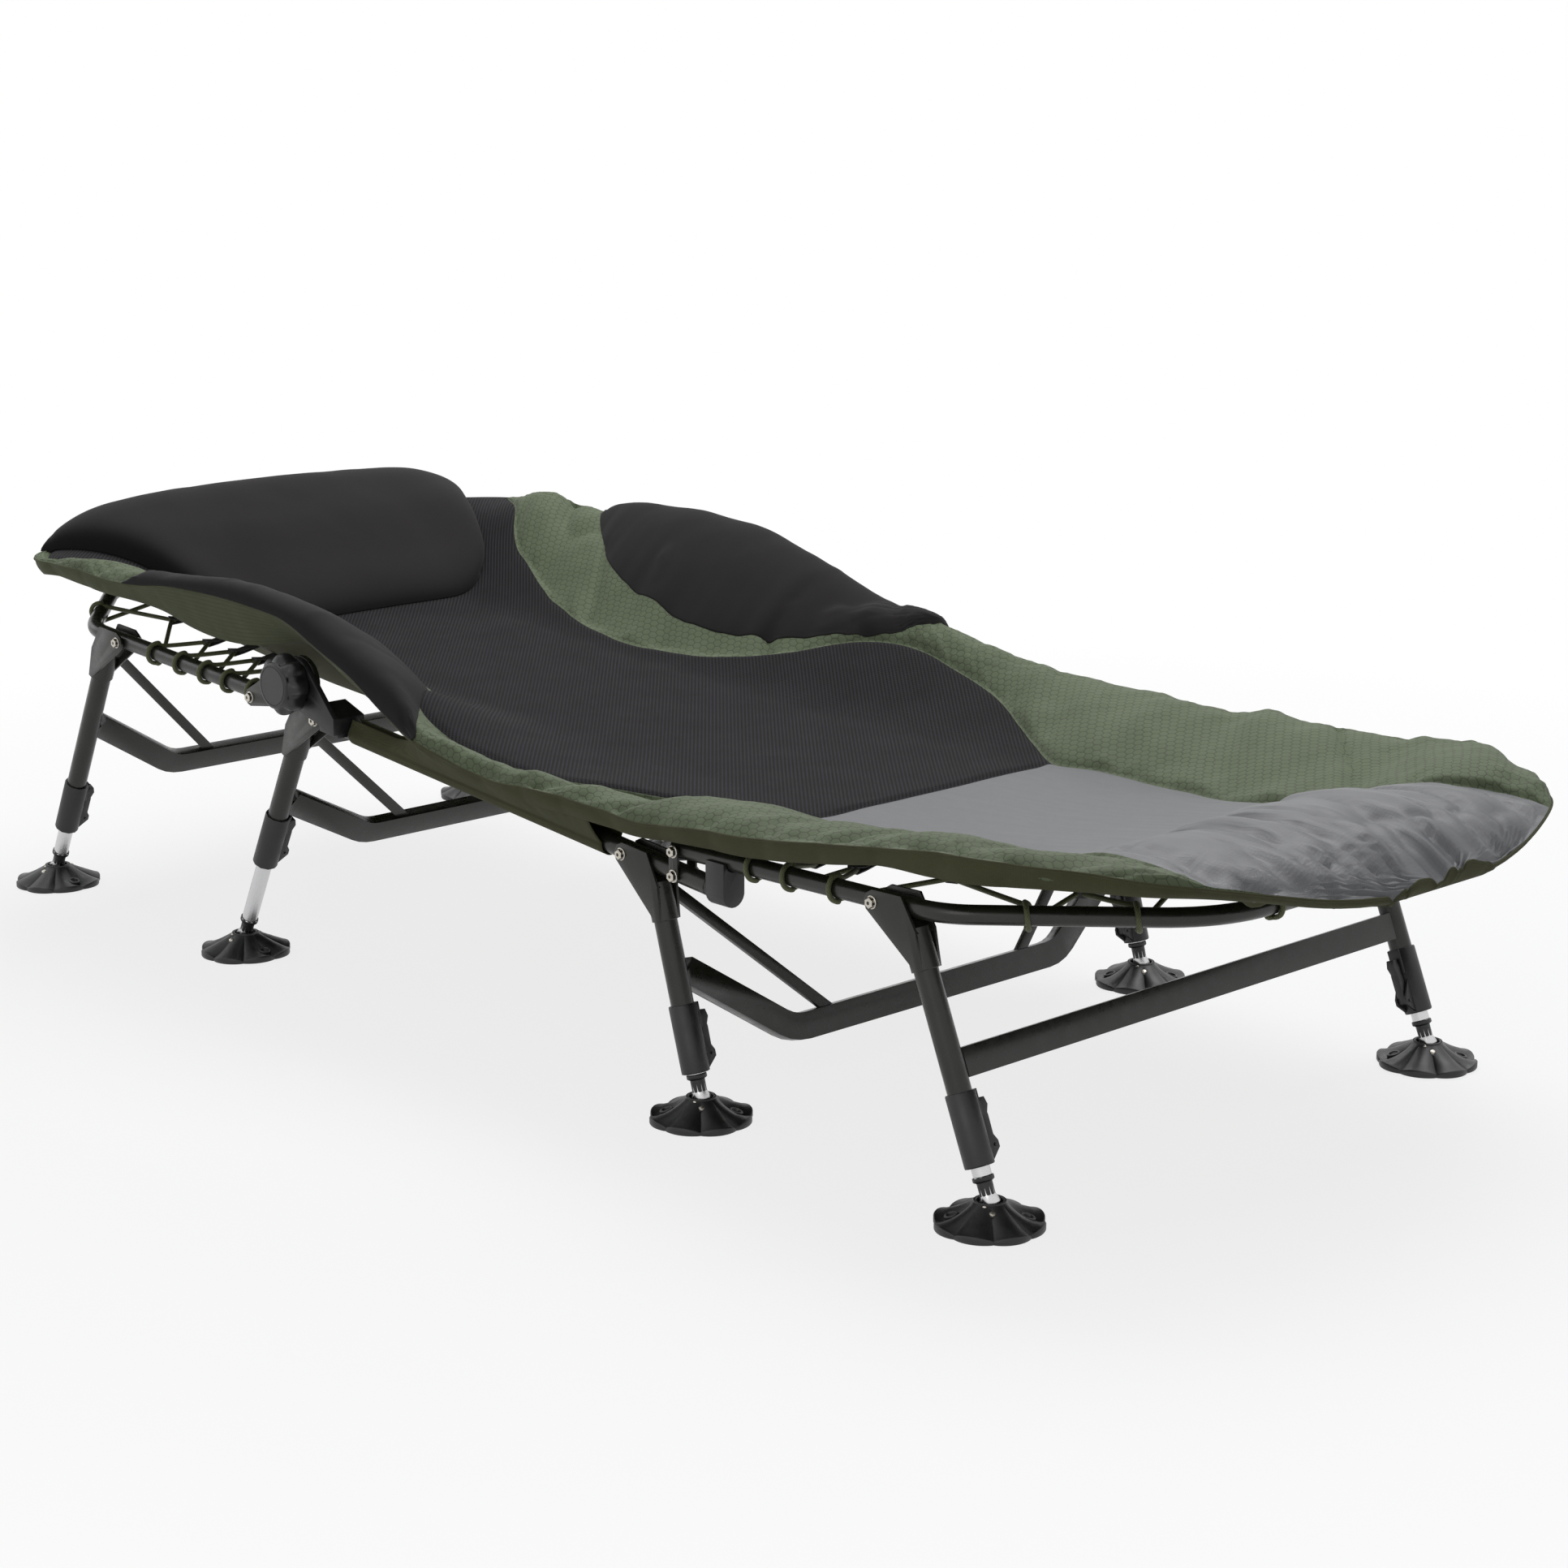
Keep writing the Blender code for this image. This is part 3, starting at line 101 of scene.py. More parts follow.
def seat_rail_z(x):
    return BOLTS[2].z + SEAT_RAIL_SLOPE * (x - BOLTS[2].x)


def back_rail_z(x):
    return BACK_BOLT.z + BACK_RAIL_SLOPE * (x - BACK_BOLT.x)


def foot_rail_z(x):
    return FOOT_HINGE.z + FOOT_RAIL_SLOPE * (x - FOOT_HINGE.x)


def shown(name, data):
    """An object of this data, in the scene."""
    item = bpy.data.objects.new(name, data)
    bpy.context.scene.collection.objects.link(item)
    return item


def placed(item, slot, body, *nodes):
    """Attaches a piece to its body, and hides the CAD nodes that it stands for. slot is not used."""
    if nodes:
        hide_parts(*nodes)
    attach(item, body)


def aim_camera():
    data = bpy.data.cameras.new("camera")
    data.sensor_width = 36
    data.lens = CAMERA_LENS
    data.clip_start = 0.05
    data.clip_end = 100
    camera = shown("camera", data)
    turn = Euler((math.radians(90 - CAMERA_ELEVATION), 0, math.radians(CAMERA_AZIMUTH)))
    camera.matrix_world = Matrix.Translation(CAMERA_PLACE) @ turn.to_matrix().to_4x4()
    bpy.context.scene.camera = camera


aim_camera()


# Shader building

LABELS = {
    "metallic": "Metallic",
    "sheen": "Sheen Weight",
    "sheen_roughness": "Sheen Roughness",
    "coat": "Coat Weight",
    "coat_roughness": "Coat Roughness",
    "specular": "Specular IOR Level",
}


def shade(colour, factor):
    return tuple(channel * factor for channel in colour)


class Nodes:
    """Short ways to add nodes to the tree of a material or a world."""

    def __init__(self, owner, empty=True):
        owner.use_nodes = True
        self.tree = owner.node_tree
        if empty:
            self.tree.nodes.clear()

    def put(self, socket, value):
        """Links a node's output to a socket, or sets the socket's own constant."""
        if isinstance(value, bpy.types.NodeSocket):
            self.tree.links.new(value, socket)
        else:
            socket.default_value = (*value, 1) if socket.type == "RGBA" else value

    def node(self, kind, *values, **settings):
        made = self.tree.nodes.new(kind)
        for key, value in settings.items():
            setattr(made, key, value)
        for socket, value in zip(made.inputs, values):
            if value is not None:
                self.put(socket, value)
        return made

    def math(self, operation, *values):
        return self.node("ShaderNodeMath", *values, operation=operation).outputs[0]

    def vector(self, operation, *values):
        made = self.node("ShaderNodeVectorMath", *values, operation=operation)
        return made.outputs["Value" if operation in ("LENGTH", "DOT_PRODUCT") else "Vector"]

    def place(self):
        return self.node("ShaderNodeTexCoord").outputs["Object"]

    def rays(self, *kinds):
        """1 for rays of these kinds, and 0 for all others."""
        path = self.node("ShaderNodeLightPath").outputs
        found = path[kinds[0]]
        for kind in kinds[1:]:
            found = self.math("MAXIMUM", found, path[kind])
        return found

    def mixed_shader(self, share, first, second):
        return self.node("ShaderNodeMixShader", share, first.outputs[0], second.outputs[0]).outputs[0]


class Shader(Nodes):
    """A Principled material, and the patterns that its looks are made of."""

    def __init__(self, name, colour, roughness, **settings):
        self.material = bpy.data.materials.new(name)
        self.material.diffuse_color = (*colour, 1)
        super().__init__(self.material, empty=False)
        self.surface = self.tree.nodes["Principled BSDF"].inputs
        self.colour = colour
        self.put(self.surface["Roughness"], roughness)
        for key, value in settings.items():
            self.put(self.surface[LABELS[key]], value)

    def step(self, value, low, high, start=0, end=1):
        """value taken smoothly from low to high, onto start to end."""
        made = self.node("ShaderNodeMapRange", value, low, high, start, end, interpolation_type="SMOOTHSTEP")
        return made.outputs[0]

    def mix(self, share, first, second, kind="RGBA"):
        """first where share is 0, and second where it is 1."""
        made = self.node("ShaderNodeMix", share, data_type=kind)
        # The node has a pair of inputs and an output of its own for each kind of value
        at, out = (6, 2) if kind == "RGBA" else (4, 1)
        self.put(made.inputs[at], first)
        self.put(made.inputs[at + 1], second)
        return made.outputs[out]

    def tones(self, share, low, high):
        """From the colour times low to the colour times high."""
        return self.mix(share, shade(self.colour, low), shade(self.colour, high))

    def noise(self, place, scale, detail=2, roughness=0.5):
        return self.node("ShaderNodeTexNoise", place, None, scale, detail, roughness).outputs["Fac"]

    def stretched_noise(self, place, scales, detail=2, roughness=0.5):
        """Noise with a scale of its own along each axis."""
        return self.noise(self.vector("MULTIPLY", place, scales), 1, detail, roughness)

    def flat(self):
        """Places on the cloth, in metres along its threads."""
        return self.node("ShaderNodeUVMap", uv_map="cloth").outputs[0]

    def parts(self, place):
        return self.node("ShaderNodeSeparateXYZ", place).outputs

    def cell(self, place, half=(0.5, 0.5, 1)):
        """Where a place lies in its cell of a repeated pattern, from the cell's middle."""
        return self.vector("WRAP", place, half, shade(half, -1))

    def from_whole(self, value):
        """How far a value is from the nearest whole number."""
        return self.math("ABSOLUTE", self.math("WRAP", value, 0.5, -0.5))

    def bump(self, height, distance, strength=1, under=None):
        made = self.node("ShaderNodeBump", strength, distance)
        self.put(made.inputs["Height"], height)
        if under:
            self.put(made.inputs["Normal"], under)
        return made.outputs[0]

    def finish(self, colour, normal, roughness=None):
        self.put(self.surface["Base Color"], colour)
        self.put(self.surface["Normal"], normal)
        if roughness is not None:
            self.put(self.surface["Roughness"], roughness)
        return self.material


# Materials

HEXAGON_LENGTH = 0.0118
HEXAGON_WIDTH = 0.0098
RIB_PITCH = 0.0044
HOLE_PITCH = 0.0036
RIB_WAY = (0.67, 0.74)
RIPSTOP_PITCH = 0.0042
BRAID_PITCH = 0.0034
BRAID_STRANDS = 6
WEBBING_RIB = 0.0016


def painted_steel():
    s = Shader("frame_paint", (0.0175, 0.019, 0.014), 0.34, coat=0.12, coat_roughness=0.15, specular=0.4)
    place = s.place()
    tone = s.tones(s.step(s.noise(place, 22, 3), 0.35, 0.7), 0.86, 1.18)
    rough = s.step(s.noise(place, 60, 4), 0.3, 0.75, 0.24, 0.38)
    return s.finish(tone, s.bump(s.noise(place, 1400), 0.00009), rough)


def moulded_plastic(name, colour, rough):
    s = Shader(name, colour, 0.45)
    place = s.place()
    grain = s.noise(place, 2600)
    scuff = s.noise(place, 45, 5, 0.6)
    tone = s.tones(s.step(scuff, 0.45, 0.8), 1, 1.6)
    return s.finish(tone, s.bump(grain, 0.0001), s.step(scuff, 0.3, 0.8, *rough))


def satin_aluminium():
    s = Shader("satin_aluminium", (0.66, 0.66, 0.67), 0.3, metallic=1)
    drawn = s.stretched_noise(s.place(), (900, 900, 30), 3)
    return s.finish(s.tones(drawn, 0.9, 1), s.bump(drawn, 0.00002), s.step(drawn, 0.2, 0.8, 0.24, 0.4))


def zinc():
    s = Shader("zinc_plate", (0.56, 0.53, 0.47), 0.28, metallic=1)
    cloud = s.noise(s.place(), 400, 4)
    return s.finish(s.tones(cloud, 0.75, 1.15), s.bump(cloud, 0.00006), s.step(cloud, 0.2, 0.8, 0.2, 0.42))


def honeycomb():
    """Green ripstop: a fine weave with raised hexagons outlined by darker threads."""
    s = Shader("green_ripstop", (0.118, 0.148, 0.085), 0.72, sheen=0.06, sheen_roughness=0.45, specular=0.25)
    flat = s.flat()
    towards = (0.5, math.sqrt(3) / 2, 0)
    half = (0.5, math.sqrt(3) / 2, 1)
    place = s.vector("MULTIPLY", flat, (1 / HEXAGON_LENGTH, 1 / HEXAGON_WIDTH, 0))
    first = s.cell(place, half)
    second = s.cell(s.vector("ADD", place, towards), half)
    nearer = s.math("LESS_THAN", s.vector("LENGTH", first), s.vector("LENGTH", second))
    inside = s.vector("ABSOLUTE", s.mix(nearer, second, first, "VECTOR"))
    slant = s.vector("DOT_PRODUCT", inside, towards)
    edge = s.math("SUBTRACT", 0.5, s.math("MAXIMUM", slant, s.parts(inside)[0]))
    weave = s.stretched_noise(flat, (2600, 900, 0))
    cloud = s.noise(flat, 16, 4, 0.6)
    body = s.tones(s.step(cloud, 0.3, 0.72), 0.9, 1.1)
    body = s.mix(s.step(weave, 0.25, 0.75), shade(s.colour, 0.93), body)
    tone = s.mix(s.step(edge, 0.02, 0.09), shade(s.colour, 0.52), body)
    return s.finish(tone, s.bump(s.step(edge, 0, 0.2), 0.00018, 0.8, s.bump(weave, 0.00008)))


def air_mesh():
    """Black air mesh: slanting ribs, with a row of small holes in each valley. The holes are painted near
    black, as painted shade inside them.
    """
    s = Shader("black_air_mesh", (0.025, 0.0236, 0.0262), 0.86, sheen=0.04, sheen_roughness=0.4, specular=0.1)
    flat = s.flat()
    a, b = RIB_WAY
    across = s.vector("DOT_PRODUCT", flat, (a / RIB_PITCH, b / RIB_PITCH, 0))
    along = s.vector("DOT_PRODUCT", flat, (b / HOLE_PITCH, -a / HOLE_PITCH, 0))
    valley = s.step(s.from_whole(across), 0.1, 0.4)
    between = s.step(s.from_whole(along), 0.1, 0.44)
    raised = s.math("SUBTRACT", 1, s.math("MULTIPLY", valley, s.step(between, 0, 1, 1, 0.55)))
    body = s.tones(s.step(s.noise(flat, 14, 4, 0.6), 0.3, 0.7), 0.94, 1.22)
    # The holes are painted at 0.22 of the colour: painted shade inside them.
    tone = s.mix(raised, shade(s.colour, 0.22), body)
    return s.finish(tone, s.bump(raised, 0.0009, 0.9, s.bump(s.noise(flat, 2200, 1), 0.0001)))


def grey_nylon():
    s = Shader("grey_ripstop", (0.113, 0.116, 0.125), 0.46, sheen=0.04, sheen_roughness=0.35, specular=0.5)
    flat = s.flat()
    cell = s.cell(s.vector("MULTIPLY", flat, (1 / RIPSTOP_PITCH, 1 / RIPSTOP_PITCH, 0)))
    away = s.parts(s.vector("ABSOLUTE", cell))
    thread = s.step(s.math("MAXIMUM", away[0], away[1]), 0.4, 0.48)
    streak = s.stretched_noise(flat, (9, 60, 0), 4, 0.6)
    body = s.tones(s.step(streak, 0.25, 0.75), 0.92, 1.08)
    tone = s.mix(thread, body, shade(s.colour, 0.86))
    fine = s.bump(thread, 0.0001, 0.8, s.bump(s.noise(flat, 2600, 1), 0.00006))
    return s.finish(tone, s.bump(streak, 0.0007, 0.5, fine), s.step(streak, 0.2, 0.8, 0.4, 0.52))


def plain_weave(name, colour, pitch):
    """A plain woven cloth, such as the mattress's underside."""
    s = Shader(name, colour, 0.8, sheen=0.04, sheen_roughness=0.5, specular=0.2)
    flat = s.flat()
    cell = s.cell(s.vector("MULTIPLY", flat, (1 / pitch, 1 / pitch, 0)))
    thread = s.step(s.vector("LENGTH", cell), 0.3, 0.66)
    body = s.tones(s.step(s.noise(flat, 20, 4, 0.6), 0.3, 0.7), 0.88, 1.12)
    return s.finish(s.mix(thread, body, shade(colour, 0.72)), s.bump(thread, 0.00022, 0.8))


def stretch_cloth():
    colour = (0.024, 0.0222, 0.0232)
    s = Shader("black_stretch_cloth", colour, 0.84, sheen=0.06, sheen_roughness=0.38, specular=0.12)
    place = s.place()
    knit = s.noise(place, 1800)
    body = s.tones(s.step(s.noise(place, 9, 4, 0.6), 0.3, 0.7), 0.92, 1.1)
    tone = s.mix(s.step(knit, 0.3, 0.7), shade(s.colour, 0.88), body)
    return s.finish(tone, s.bump(knit, 0.00018, 0.8))


def braided_cord():
    """Olive elastic cord with a braided cover. Its map runs round the cord, then along it."""
    s = Shader("olive_cord", (0.105, 0.115, 0.045), 0.62, sheen=0.15)
    parts = s.parts(s.flat())
    around = s.math("MULTIPLY", parts[0], BRAID_STRANDS * 2 * math.pi)
    along = s.math("MULTIPLY", parts[1], 2 * math.pi / BRAID_PITCH)
    strands = [s.math("SINE", s.math(way, around, along)) for way in ("ADD", "SUBTRACT")]
    braid = s.step(s.math("MAXIMUM", *strands), -0.2, 1)
    return s.finish(s.tones(braid, 0.62, 1.15), s.bump(braid, 0.00025, 0.8))


def webbing():
    s = Shader("black_webbing", (0.015, 0.015, 0.016), 0.62, sheen=0.15)
    flat = s.flat()
    rib = s.math("SINE", s.math("MULTIPLY", s.parts(flat)[1], 2 * math.pi / WEBBING_RIB))
    cloud = s.tones(s.noise(flat, 60, 3), 1, 1.5)
    return s.finish(s.mix(s.step(rib, -0.6, 1), shade(s.colour, 0.6), cloud), s.bump(rib, 0.00018, 0.7))


PAINT = painted_steel()
PLASTIC = moulded_plastic("black_plastic", (0.0145, 0.0145, 0.0155), (0.36, 0.52))
KNOB_PLASTIC = moulded_plastic("knob_plastic", (0.0105, 0.0105, 0.0115), (0.28, 0.42))
ALUMINIUM = satin_aluminium()
ZINC = zinc()
GREEN = honeycomb()
# This colour is partly the cloth's own olive and partly a painted warm reflection of the floor, which tints
# it towards brown.
OLIVE = plain_weave("olive_cloth", (0.073, 0.074, 0.035), 0.0013)
BAND = plain_weave("green_band_cloth", (0.086, 0.096, 0.05), 0.0022)
MESH = air_mesh()
GREY = grey_nylon()
STRETCH = stretch_cloth()
CORD = braided_cord()
WEBBING = webbing()


# Curves and noise

def smooth(value):
    value = np.clip(value, 0, 1)
    return value * value * (3 - 2 * value)


def ridge(distance, width):
    return np.exp(-((distance / width) ** 2))


def hump(t, power):
    """Rises from 0 at t = 0 to 1, and falls back to 0 at t = 1."""
    return np.clip(4 * t * (1 - t), 0, 1) ** power


def spaced(count, share):
    """Numbers from 0 to 1, closer together near the ends as the share grows."""
    even = np.linspace(0, 1, count)
    return (1 - share) * even + share * 0.5 * (1 - np.cos(math.pi * even))


def points_of(*parts):
    return np.stack(np.broadcast_arrays(*parts), axis=-1)


def line(points):
    """A smooth line through (x, value) points in millimetres, held level past its ends."""
    xs, values = np.array(points, float).T / 1000
    slopes = np.gradient(values, xs)

    def at(x):
        x = np.clip(x, xs[0], xs[-1])
        i = np.clip(np.searchsorted(xs, x, side="right") - 1, 0, len(xs) - 2)
        width = xs[i + 1] - xs[i]
        s = (x - xs[i]) / width
        ends = (2 * s**3 - 3 * s**2 + 1) * values[i] + (3 * s**2 - 2 * s**3) * values[i + 1]
        return ends + ((s**3 - 2 * s**2 + s) * slopes[i] + (s**3 - s**2) * slopes[i + 1]) * width

    return at


def ripple(x, y, seed):
    """Smooth noise between -1 and 1, the same on every run."""
    x, y = np.broadcast_arrays(np.asarray(x, float), np.asarray(y, float))
    left = np.floor(x).astype(np.int64)
    low = np.floor(y).astype(np.int64)

    def corner(i, j):
        mixed = (i * 374761393 + j * 668265263 + seed * 974711) & 0xFFFFFFFF
        mixed = ((mixed ^ (mixed >> 13)) * 1274126177) & 0xFFFFFFFF
        return ((mixed ^ (mixed >> 16)) & 0xFFFF) / 32767.5 - 1

    s, t = (part**3 * (part * (6 * part - 15) + 10) for part in (x - left, y - low))
    near = corner(left, low) * (1 - s) + corner(left + 1, low) * s
    far = corner(left, low + 1) * (1 - s) + corner(left + 1, low + 1) * s
    return near * (1 - t) + far * t


def ripples(x, y, seed):
    finer = 0.5 * ripple(2.03 * x, 2.03 * y, seed + 7) + 0.25 * ripple(4.1 * x, 4.1 * y, seed + 13)
    return ripple(x, y, seed) + finer


def creases(x, y, seed):
    """Narrow valleys between soft crests, from 0 to -1."""
    return -((1 - np.abs(ripple(x, y, seed))) ** 4)


# Meshes

def quads(index, flip=False):
    """The quads of a grid of vertex numbers. They face up where x grows by row and y by column."""
    a, b, c, d = index[:-1, :-1], index[1:, :-1], index[1:, 1:], index[:-1, 1:]
    order = (d, c, b, a) if flip else (a, b, c, d)
    return np.stack([part.ravel() for part in order], axis=1)


def ring_faces(rings, sides, hollow=False, turn=1):
    """Faces round a pile of rings of corners. The ends are capped, or joined if hollow.

    Each quad is cut in two from its first corner, and turn says which one that is.
    """
    index = np.arange(rings * sides).reshape(rings, sides)
    index = np.concatenate([index, index[:, :1]], axis=1)
    if hollow:
        index = np.concatenate([index, index[:1]])
    faces = np.roll(quads(index, flip=True), turn, axis=1).tolist()
    ends = [] if hollow else [index[0, -2::-1].tolist(), index[-1, :-1].tolist()]
    return faces + ends


def band_between(a, b):
    """Faces between two closed rings of vertex numbers."""
    return np.stack([a, b, np.roll(b, -1), np.roll(a, -1)], axis=1)


def rim_of(grid):
    """A grid's outer ring, anticlockwise from above, from the corner at the head and the near side."""
    return np.concatenate([grid[:, 0], grid[-1, 1:], grid[-2::-1, -1], grid[0, -2:0:-1]])


def mesh_object(name, corners, faces, materials, numbers=None, flat=None, sharp=None):
    """A shown piece. numbers gives each face's material, and flat the cloth map of each face corner."""
    mesh = bpy.data.meshes.new(name)
    mesh.from_pydata(np.asarray(corners, float).tolist(), [], faces)
    for item in materials:
        mesh.materials.append(item)
    if numbers is not None:
        mesh.polygons.foreach_set("material_index", np.asarray(numbers, np.int32))
    if flat is not None:
        mesh.uv_layers.new(name="cloth").data.foreach_set("uv", np.asarray(flat, np.float32).ravel())
    mesh.shade_smooth()
    mesh.update()
    if sharp is not None:
        mesh.set_sharp_from_angle(angle=math.radians(sharp))
    return shown(name, mesh)


def facing(place, direction):
    """A place whose Z axis points in a direction."""
    return Matrix.Translation(place) @ UP.rotation_difference(Vector(direction)).to_matrix().to_4x4()


def turned_by(degrees, axis):
    return Matrix.Rotation(math.radians(degrees), 4, axis)


BOX_FACES = ((3, 2, 1, 0), (4, 5, 6, 7), (0, 1, 5, 4), (1, 2, 6, 5), (2, 3, 7, 6), (3, 0, 4, 7))


class Pile:
    """Several closed shapes gathered into one piece."""

    def __init__(self):
        self.corners, self.faces, self.flat, self.numbers = [], [], [], []

    def add(self, corners, faces, number=0, flat=None):
        """Adds a shape, whose faces count from its own first corner."""
        start = len(self.corners)
        self.corners += [tuple(corner) for corner in corners]
        self.faces += [[start + k for k in face] for face in faces]
        self.flat += flat or [(0, 0)] * sum(len(face) for face in faces)
        self.numbers += [number] * len(faces)

    def tube(self, path, radius, sides):
        """A round tube along a path. Its cloth map runs round it, then along it in metres."""
        corners, distances, total = [], [], 0
        along = (path[1] - path[0]).normalized()
        side = along.orthogonal().normalized()
        for i, point in enumerate(path):
            ahead = path[min(i + 1, len(path) - 1)] - path[max(i - 1, 0)]
            if ahead.length > 1e-9:
                turn = along.rotation_difference(ahead.normalized())
                side = (turn @ side).normalized()
                along = ahead.normalized()
            up = along.cross(side)
            total += (point - path[i - 1]).length if i else 0
            distances.append(total)
            for k in range(sides):
                angle = 2 * math.pi * k / sides
                corners.append(point + side * (radius * math.cos(angle)) + up * (radius * math.sin(angle)))
        flat = []
        for low, high in zip(distances, distances[1:]):
            for k in range(sides):
                u, v = k / sides, (k + 1) / sides
                flat += [(u, low), (v, low), (v, high), (u, high)]
        self.add(corners, ring_faces(len(path), sides), 0, flat + [(0, 0)] * (2 * sides))

    def turned(self, rings, place, sides=32, number=0, hollow=False):
        """Turns (radius, height) rings about a place's Z axis. The ends are capped, or joined if hollow."""
        corners = []
        for radius, height in rings:
            for k in range(sides):
                angle = 2 * math.pi * (k + 0.5) / sides
                corners.append(place @ Vector((radius * math.cos(angle), radius * math.sin(angle), height)))
        self.add(corners, ring_faces(len(rings), sides, hollow), number)

    def block(self, corners):
        """A box from its eight corners: four round the bottom, then the four above them."""
        self.add(corners, BOX_FACES)

    def made(self, name, materials, sharp=None):
        return mesh_object(name, self.corners, self.faces, materials, self.numbers, self.flat, sharp)


def rounded(points, radii, steps=10):
    """A path with each inner corner replaced by an arc of the radius given for it."""
    path = [points[0]]
    for before, corner, after, radius in zip(points, points[1:], points[2:], radii):
        back = (before - corner).normalized()
        ahead = (after - corner).normalized()
        half = back.angle(ahead) / 2
        centre = corner + (back + ahead).normalized() * radius / math.sin(half)
        start = corner + back * radius / math.tan(half) - centre
        turn = math.pi - 2 * half
        axis = start.cross(ahead).normalized()
        path += [centre + Matrix.Rotation(turn * i / steps, 3, axis) @ start for i in range(steps + 1)]
    return path + [points[-1]]


# The mattress's surface

MATTRESS_HEAD_X = -1.007
MATTRESS_FOOT_X = 1.02
GREY_SEAM_X = 0.342
SPLIT_X = 0
HALF_LENGTH = 1.0135
HALF_WIDTH = 0.4
HEAD_CURVE_X = -0.877
HEAD_CURVE_DEPTH = 0.162
FOOT_CURVE_X = 0.725
FOOT_CURVE_DEPTH = 0.299
PAD_THICKNESS = 0.036
THINNEST_EDGE = 0.012
THIN_BORDER = 0.0045

middle_z = line((
    (-1007, 455), (-940, 452), (-860, 418), (-780, 373), (-690, 351), (-550, 340), (-395, 329),
    (-245, 319), (45, 306), (345, 300), (545, 307), (660, 320), (735, 334), (780, 352), (825, 367),
    (875, 374), (920, 374), (960, 368), (990, 354), (1008, 342), (1020, 334),
))
near_edge_z = line((
    (-1007, 452), (-900, 456), (-800, 456), (-720, 452), (-665, 455), (-600, 462), (-542, 464),
    (-413, 461), (-346, 454), (-280, 430), (-216, 406), (-153, 373), (-100, 350), (-40, 338), (37, 328),
    (125, 331), (210, 330), (286, 326), (372, 335), (474, 343), (560, 355), (660, 369), (720, 377),
    (810, 381), (880, 380), (940, 368), (975, 357), (1000, 346), (1020, 336),
))
far_edge_z = line((
    (-1007, 452), (-900, 455), (-800, 462), (-720, 455), (-665, 455), (-600, 462), (-542, 464),
    (-413, 461), (-346, 454), (-280, 432), (-216, 412), (-153, 394), (-100, 384), (-40, 375), (20, 362),
    (90, 350), (180, 342), (300, 338), (372, 340), (474, 346), (560, 350), (660, 352), (770, 354),
    (840, 350), (900, 346), (960, 342), (1020, 336),
))
seam_y = line((
    (-1007, 400), (-930, 395), (-861, 358), (-770, 287), (-700, 255), (-620, 223), (-474, 189),
    (-368, 188), (-250, 217), (-168, 262), (-101, 318), (-18, 343), (50, 336), (107, 323), (203, 276),
    (278, 230), (345, 192), (410, 197), (470, 190), (550, 177), (650, 152), (720, 152), (800, 185),
    (880, 225), (950, 255), (1020, 250),
))
near_seam_y = line((
    (-340, 100), (-245, 255), (-170, 338), (-100, 350), (-20, 343), (60, 330),
))
near_foot_seam_y = line((
    (600, 155), (690, 195), (770, 240), (850, 270), (920, 275), (970, 268), (1020, 250),
))
underside_z = line((
    (-1007, 424), (-950, 430), (-888, 438), (-780, 432), (-700, 428), (-640, 418), (-590, 408),
    (-530, 402), (-460, 404), (-400, 413.5), (-341, 422.5), (-300, 408), (-253, 388), (-216, 374),
    (-184, 362), (-117, 342), (-50, 322), (37, 312), (200, 309), (286, 307), (345, 312), (474, 319),
    (560, 331), (660, 347), (720, 348), (780, 352), (850, 358), (915, 356), (960, 349), (1000, 335),
    (1020, 326),
))
border_height = line((
    (-1007, 6), (-900, 9), (-780, 15), (-680, 14), (-500, 7), (-300, 7), (-180, 12), (-60, 21), (100, 23),
    (300, 22), (600, 20), (900, 17), (1020, 10),
))


def side_of(y):
    return np.where(y < 0, -1, 1)


def half_width(x):
    foot = np.clip((x - FOOT_CURVE_X) / FOOT_CURVE_DEPTH, 0, 0.999)
    head = np.maximum((HEAD_CURVE_X - x) / HEAD_CURVE_DEPTH, 0)
    return HALF_WIDTH * (1 - foot**2.3) ** (1 / 2.3) * (1 - head**2.4) ** (1 / 2.4)


def edge_y(x, side):
    """The border's edge. It bulges a little between the places where its stitching pulls it in."""
    phase = x * 12.5 + 0.17 * side + 0.35 * ripple(x * 5, 0.5, 31 + side)
    scallop = np.abs(np.sin(math.pi * phase)) ** 0.7 - 0.66
    zone = smooth((x + 0.1) / 0.12) * smooth((0.99 - x) / 0.06) + smooth((-0.7 - x) / 0.05)
    return half_width(x) + 0.0026 * scallop * zone


def edge_z(x, side):
    return np.where(side < 0, near_edge_z(x), far_edge_z(x))


def inner_seam(x, side):
    """Where the border meets the middle panel."""
    seam = seam_y(x)
    seam = np.where((side < 0) & (x < 0.05), np.maximum(seam, near_seam_y(x)), seam)
    seam = np.where((side < 0) & (x > 0.61), np.maximum(seam, near_foot_seam_y(x)), seam)
    by_head = smooth((-0.78 - x) / 0.1) * smooth((x + 0.985) / 0.03)
    near = 0.013 * by_head + 0.0055 * smooth((1 - x) / 0.03) + 0.0005
    least = np.where(side < 0, near, 0.0015)
    wobble = 0.0016 * ripple(x * 28, 0.5, 5 + side)
    return np.minimum(seam + wobble, edge_y(x, side) - least)


def wing(x):
    """Where the mattress is turned up beside the sleeper, from 0 to 1."""
    return smooth((x + 0.74) / 0.1) * smooth((-0.09 - x) / 0.12)


def base_z(x, y):
    share = smooth((np.abs(y) / HALF_WIDTH - 0.36) / 0.62)
    return middle_z(x) + (edge_z(x, side_of(y)) - middle_z(x)) * share


